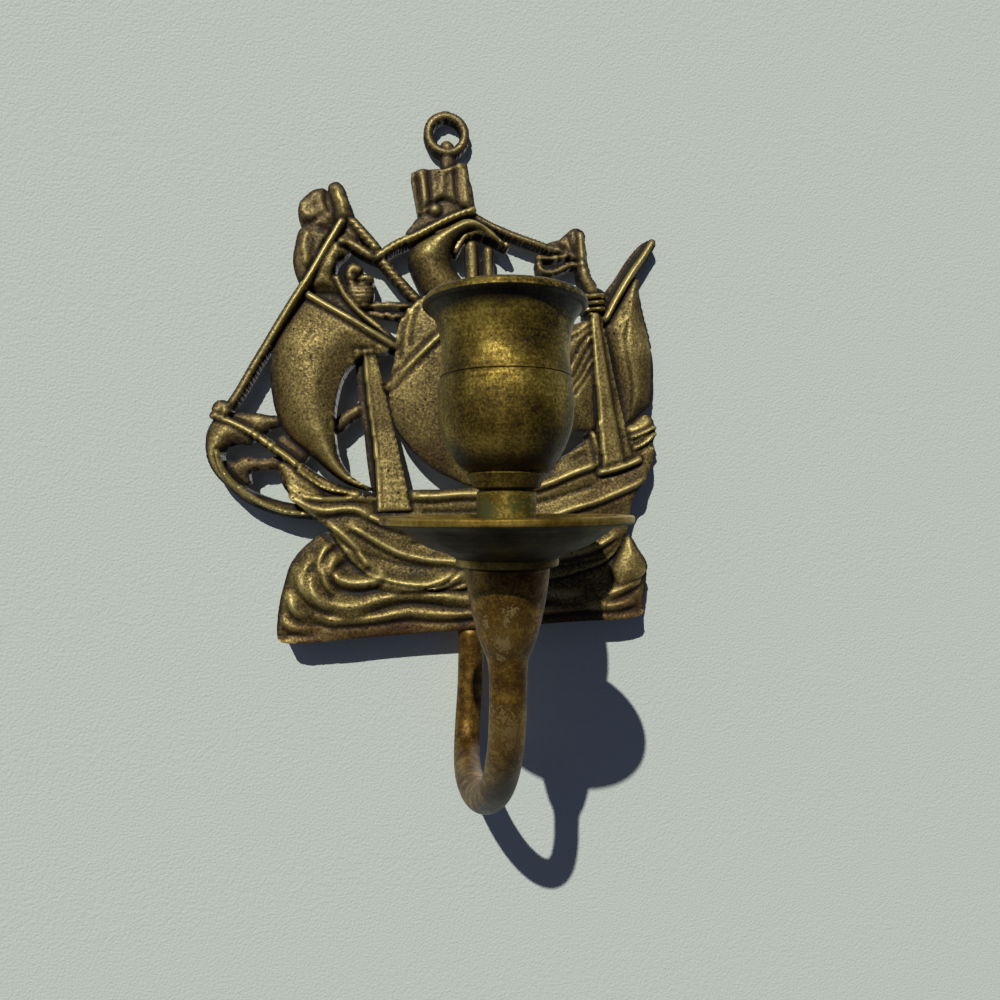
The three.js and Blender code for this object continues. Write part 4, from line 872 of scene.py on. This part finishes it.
def add(tree, kind, links=None, stops=None, **settings):
    """Adds a node with its settings, links or sets its inputs, and fills its colour ramp."""
    node = tree.nodes.new("ShaderNode" + kind)
    for name, value in settings.items():
        setattr(node, name, value)
    if stops:
        ramp = node.color_ramp
        while len(ramp.elements) < len(stops):
            ramp.elements.new(1)
        for element, (place, colour) in zip(ramp.elements, stops):
            element.position = place
            element.color = shade(colour) if isinstance(colour, str) else [colour] * 3 + [1]
    for key, value in (links or {}).items():
        if isinstance(value, bpy.types.NodeSocket):
            tree.links.new(value, node.inputs[key])
        else:
            node.inputs[key].default_value = value
    return node


def material(name):
    made = bpy.data.materials.new(name)
    made.use_nodes = True
    tree = made.node_tree
    tree.nodes.clear()
    return made, tree


def finish_surface(tree, shader):
    add(tree, "OutputMaterial", {"Surface": shader.outputs[0]})


def cast_brass():
    """Brass cast in sand and left to age: olive gold where hands have rubbed it, grey brown
    on the low parts that they missed, red brown where tarnish is left, brown to black in
    the hollows as grime and painted shade, a peppery grain all over and a few dark pits."""
    made, tree = material("aged_cast_brass")
    place = add(tree, "TexCoord").outputs["Object"]
    hollow, broad, tarnished, dull = (add(tree, "Attribute", attribute_name=name).outputs["Fac"]
                                      for name in ("hollow", "broad", "tarnish", "dull"))
    cloud = add(tree, "TexNoise", {"Vector": place, "Scale": per_mm(11), "Detail": 5.0}).outputs["Fac"]
    pepper = add(tree, "TexNoise", {"Vector": place, "Scale": per_mm(0.75), "Detail": 6.0,
                                    "Roughness": 0.8}).outputs["Fac"]
    pits = add(tree, "TexVoronoi", {"Vector": place, "Scale": per_mm(4)}).outputs["Distance"]
    pit = add(tree, "ValToRGB", {"Fac": pits}, stops=[(0.05, 1.0), (0.13, 0.0)]).outputs["Color"]
    # The hollow and broad attributes darken the colour: grime, and painted shade in the hollows
    dark = -0.2
    for height, share in ((hollow, 0.7), (broad, 0.07), (cloud, 0.4), (pepper, 1.4), (pit, 0.3)):
        dark = add(tree, "Math", {0: height, 1: share, 2: dark}, operation="MULTIPLY_ADD").outputs[0]
    dark.node.use_clamp = True
    rubbed, missed, red = (add(tree, "ValToRGB", {"Fac": dark}, stops=stops).outputs["Color"]
                           for stops in (RUBBED, MISSED, TARNISHED))
    low = add(tree, "Math", {0: dull, 1: 0.8}, operation="MULTIPLY").outputs[0]
    colour = add(tree, "Mix", {0: low, 6: rubbed, 7: missed}, data_type="RGBA").outputs[2]
    patchy = add(tree, "Math", {0: cloud, 1: tarnished}, operation="MULTIPLY").outputs[0]
    left_on = add(tree, "MapRange", {"Value": patchy, "From Min": 0.1, "From Max": 0.5, "To Max": 0.85})
    colour = add(tree, "Mix", {0: left_on.outputs[0], 6: colour, 7: red}, data_type="RGBA").outputs[2]
    metal = add(tree, "MapRange", {"Value": dark, "From Min": 0.6, "From Max": 0.95,
                                   "To Min": 0.66, "To Max": 0.3})
    rough = add(tree, "MapRange", {"Value": dark, "From Min": 0.45, "From Max": 0.9,
                                   "To Min": 0.42, "To Max": 0.7})
    bump = add(tree, "Bump", {"Height": pepper, "Strength": 0.6, "Distance": 0.25 * MM})
    sunk = add(tree, "Bump", {"Height": pit, "Strength": 0.7, "Distance": 0.25 * MM,
                              "Normal": bump.outputs[0]}, invert=True)
    finish_surface(tree, add(tree, "BsdfPrincipled", {
        "Base Color": colour, "Metallic": metal.outputs[0], "Roughness": rough.outputs[0],
        "Normal": sunk.outputs[0]}))
    return made


def worn_brass(name, stops, cloud_size, speckle, lines=0.0, patches=(), gloss=0.5):
    """Smooth brass that has tarnished and been rubbed: clouds of brown, fine speckle, painted
    shade in near black where it faces down and, on what was turned on a lathe, faint rings.
    Patches are (place, size, colour) of worn lacquer, verdigris or grime."""
    made, tree = material(name)
    place = add(tree, "Attribute", attribute_name="local").outputs["Vector"]
    rings = add(tree, "Mapping", {"Vector": place, "Scale": (0.03, 0.03, 1)}).outputs[0]
    turning = add(tree, "TexNoise", {"Vector": rings, "Scale": 1 / TURNING_PITCH, "Detail": 5.0})
    cloud = add(tree, "TexNoise", {"Vector": place, "Scale": 1 / cloud_size, "Detail": 6.0,
                                   "Roughness": 0.6})
    fine = add(tree, "TexNoise", {"Vector": place, "Scale": 1 / SPECKLE_SIZE, "Detail": 5.0,
                                  "Roughness": 0.75})
    mixed = cloud.outputs["Fac"]
    for pattern, share in ((turning, lines), (fine, speckle)):
        mixed = add(tree, "Math", {0: pattern.outputs["Fac"], 1: share, 2: mixed},
                    operation="MULTIPLY_ADD").outputs[0]
    middle = 0.5 * (1 + lines + speckle)
    level = add(tree, "MapRange", {"Value": mixed, "From Min": middle - 0.25, "From Max": middle + 0.25})
    colour = add(tree, "ValToRGB", {"Fac": level.outputs[0]}, stops=stops).outputs["Color"]
    for centre, size, patch in patches:
        away = add(tree, "VectorMath", {0: place, 1: centre}, operation="DISTANCE").outputs["Value"]
        ragged = add(tree, "Math", {0: away, 1: -0.22 / size, 2: mixed}, operation="MULTIPLY_ADD")
        amount = add(tree, "MapRange", {"Value": ragged.outputs[0], "From Min": middle - 0.1,
                                        "From Max": middle - 0.04, "To Max": 0.8}).outputs[0]
        colour = add(tree, "Mix", {0: amount, 6: colour, 7: shade(patch)}, data_type="RGBA").outputs[2]
    # Painted shade: faces that point down turn near black and less metallic
    facing = add(tree, "SeparateXYZ", {0: add(tree, "NewGeometry").outputs["Normal"]}).outputs["Z"]
    under = add(tree, "MapRange", {"Value": facing, "From Min": -0.25, "From Max": -0.6,
                                   "To Max": 0.85}).outputs[0]
    colour = add(tree, "Mix", {0: under, 6: colour, 7: shade("#0f0a06")}, data_type="RGBA").outputs[2]
    metal = add(tree, "MapRange", {"Value": under, "To Min": 0.72, "To Max": 0.1})
    rough = add(tree, "MapRange", {"Value": level.outputs[0], "To Min": 0.42, "To Max": 0.6})
    bump = add(tree, "Bump", {"Height": mixed, "Strength": 0.7, "Distance": 0.1 * MM})
    finish_surface(tree, add(tree, "BsdfPrincipled", {
        "Base Color": colour, "Metallic": metal.outputs[0], "Roughness": rough.outputs[0],
        "Specular IOR Level": gloss, "Normal": bump.outputs[0]}))
    return made


def wall_paint():
    """Matt wall paint in a pale grey green. Its back is clear, for the views from behind."""
    made, tree = material("matt_wall_paint")
    place = add(tree, "TexCoord").outputs["Object"]
    roller = add(tree, "TexNoise", {"Vector": place, "Scale": per_mm(0.8), "Detail": 3.0}).outputs["Fac"]
    bump = add(tree, "Bump", {"Height": roller, "Strength": 0.8, "Distance": 0.3 * MM})
    paint = add(tree, "BsdfDiffuse", {"Color": shade("#c6d0cb"), "Normal": bump.outputs[0]})
    clear = add(tree, "BsdfTransparent")
    behind = add(tree, "NewGeometry").outputs["Backfacing"]
    finish_surface(tree, add(tree, "MixShader", {0: behind, 1: paint.outputs[0], 2: clear.outputs[0]}))
    return made


# The wall, the lights and the camera

WALL_HALF = 1500
WALL_GAP = 0.2
WALL_LEAN = 0.0168


def wall():
    """The plaque's head nearly touches the wall and its foot stands up to 3 mm off, as it
    hangs. The wall casts no shadow, so that the light behind it reaches the plaque's back."""
    head = HIGH - ORIGIN_UP
    mesh = bpy.data.meshes.new("wall")
    corners = [(x * WALL_HALF, WALL_GAP + WALL_LEAN * (head - z * WALL_HALF), z * WALL_HALF)
               for x, z in ((-1, -1), (1, -1), (1, 1), (-1, 1))]
    mesh.from_pydata([Vector(corner) * MM for corner in corners], [], [(0, 1, 2, 3)])
    mesh.materials.append(wall_paint())
    thing = bpy.data.objects.new("wall", mesh)
    thing.visible_shadow = False
    bpy.context.scene.collection.objects.link(thing)


def light(name, kind, energy, colour, towards, place=(0, 0, 0), **settings):
    data = bpy.data.lights.new(name, kind)
    data.energy = energy
    data.color = shade(colour)[:3]
    for key, value in settings.items():
        setattr(data, key, value)
    thing = bpy.data.objects.new(name, data)
    thing.location = place
    thing.rotation_euler = Vector(towards).to_track_quat("-Z", "Y").to_euler()
    bpy.context.scene.collection.objects.link(thing)


# How far a shadow falls on the wall for each millimetre that the form stands off it
SHADOW_RIGHT = 0.347
SHADOW_DOWN = 0.845
SHADOW_BLUR = 0.6


def lights():
    light("key_light", "SUN", 3.5, "#fffaf0", (SHADOW_RIGHT, 1, -SHADOW_DOWN), angle=radians(SHADOW_BLUR))
    light("soft_fill", "AREA", 0.5, "#dfe9ff", (0.5, 1, -0.3), (-0.6, -1.0, 0.3), size=0.7)
    light("back_fill", "AREA", 20, "#ffffff", (-0.3, -1, -0.3), (0.4, 1.3, 0.3), size=1.0)
    world = bpy.data.worlds.new("room")
    world.use_nodes = True
    background = world.node_tree.nodes["Background"]
    background.inputs["Color"].default_value = shade("#a6b0dc")
    background.inputs["Strength"].default_value = 0.11
    bpy.context.scene.world = world
    bpy.context.scene.view_settings.view_transform = "Standard"


# The camera that was fitted to the photograph, in millimetres and degrees
CAMERA_PLACE = (-21.0, -230.7, 40.6)
CAMERA_AIM = (12.3, 0, 40.1)
CAMERA_ROLL = -2.73
CAMERA_LENS = 25.07
CAMERA_SENSOR = 36


def camera():
    data = bpy.data.cameras.new("camera")
    data.sensor_width = CAMERA_SENSOR
    data.lens = CAMERA_LENS
    data.clip_start = 0.01
    thing = bpy.data.objects.new("camera", data)
    bpy.context.scene.collection.objects.link(thing)
    place, aim = (Vector((x, y, z - ORIGIN_UP)) * MM for x, y, z in (CAMERA_PLACE, CAMERA_AIM))
    turn = (aim - place).to_track_quat("-Z", "Y").to_matrix() @ Matrix.Rotation(radians(CAMERA_ROLL), 3, "Z")
    thing.matrix_world = Matrix.Translation(place) @ turn.to_4x4()
    bpy.context.scene.camera = thing


# The unevenness that sand leaves, as (depth, size)
ROUGH_CAST = [(0.035, 1.2), (0.08, 4.5)]


def ship_plaque():
    """The relief is drawn from the ring down, softened, and then made uneven as sand leaves it."""
    relief = Relief()
    for part in (hanging_ring, main_flag, fore_mast, foresail, main_mast, mainsail, mizzen_mast, bow, hull,
                 waves, shrouds):
        part(relief)
    relief.height = relief.softened(relief.height, SOFTNESS)
    relief.height += sum(depth * relief.noise(size) for depth, size in ROUGH_CAST)
    mesh = plaque_mesh(relief)
    smooth_shaded(mesh)
    piece("ship_plaque_relief", mesh, cast_brass(), "ship_plaque")


# Patches, as (place, size, colour) in the arm's own frame: pale worn lacquer on the arm,
# verdigris round the cup's neck and grime on its rim
LACQUER = [((-2, -ARM_REACH - 8, 12), 7, "#a8925c"), ((0, -ARM_REACH - 3, -9), 8, "#a28a54"),
           ((1, -ARM_REACH + 4, -20), 6, "#a28a54")]
VERDIGRIS = [((1, -ARM_REACH - 6.4, 38), 5, "#46633c"), ((-4, -ARM_REACH - 5, 37.5), 4, "#5a6b44")]
RIM_GRIME = [((9.5, -ARM_REACH - 15, 82.4), 9, "#1d170d"), ((13.5, -ARM_REACH - 11, 82), 9, "#1d170d")]

ship_plaque()
piece("arm_rod", arm_mesh(), worn_brass(
    "worn_lacquered_brass", [(0.15, "#967a38"), (0.45, "#6e5019"), (0.7, "#503810"), (1, "#35240a")],
    cloud_size=4, speckle=0.9, patches=LACQUER), "arm")
piece("drip_pan_dish", pan_mesh(), worn_brass(
    "spun_brass", [(0.1, "#b89f58"), (0.45, "#8a7436"), (0.75, "#5f4c1a"), (1, "#33270f")],
    cloud_size=9, speckle=0.4, lines=0.3, gloss=0.04), "drip_pan")
piece("candle_cup_turned", cup_mesh(), worn_brass(
    "turned_brass", [(0.05, "#a89548"), (0.4, "#726022"), (0.7, "#4f4114"), (1, "#2c220a")],
    cloud_size=8, speckle=1.1, lines=0.25, patches=VERDIGRIS + RIM_GRIME, gloss=0.35),
      "candle_cup")
wall()
lights()
camera()
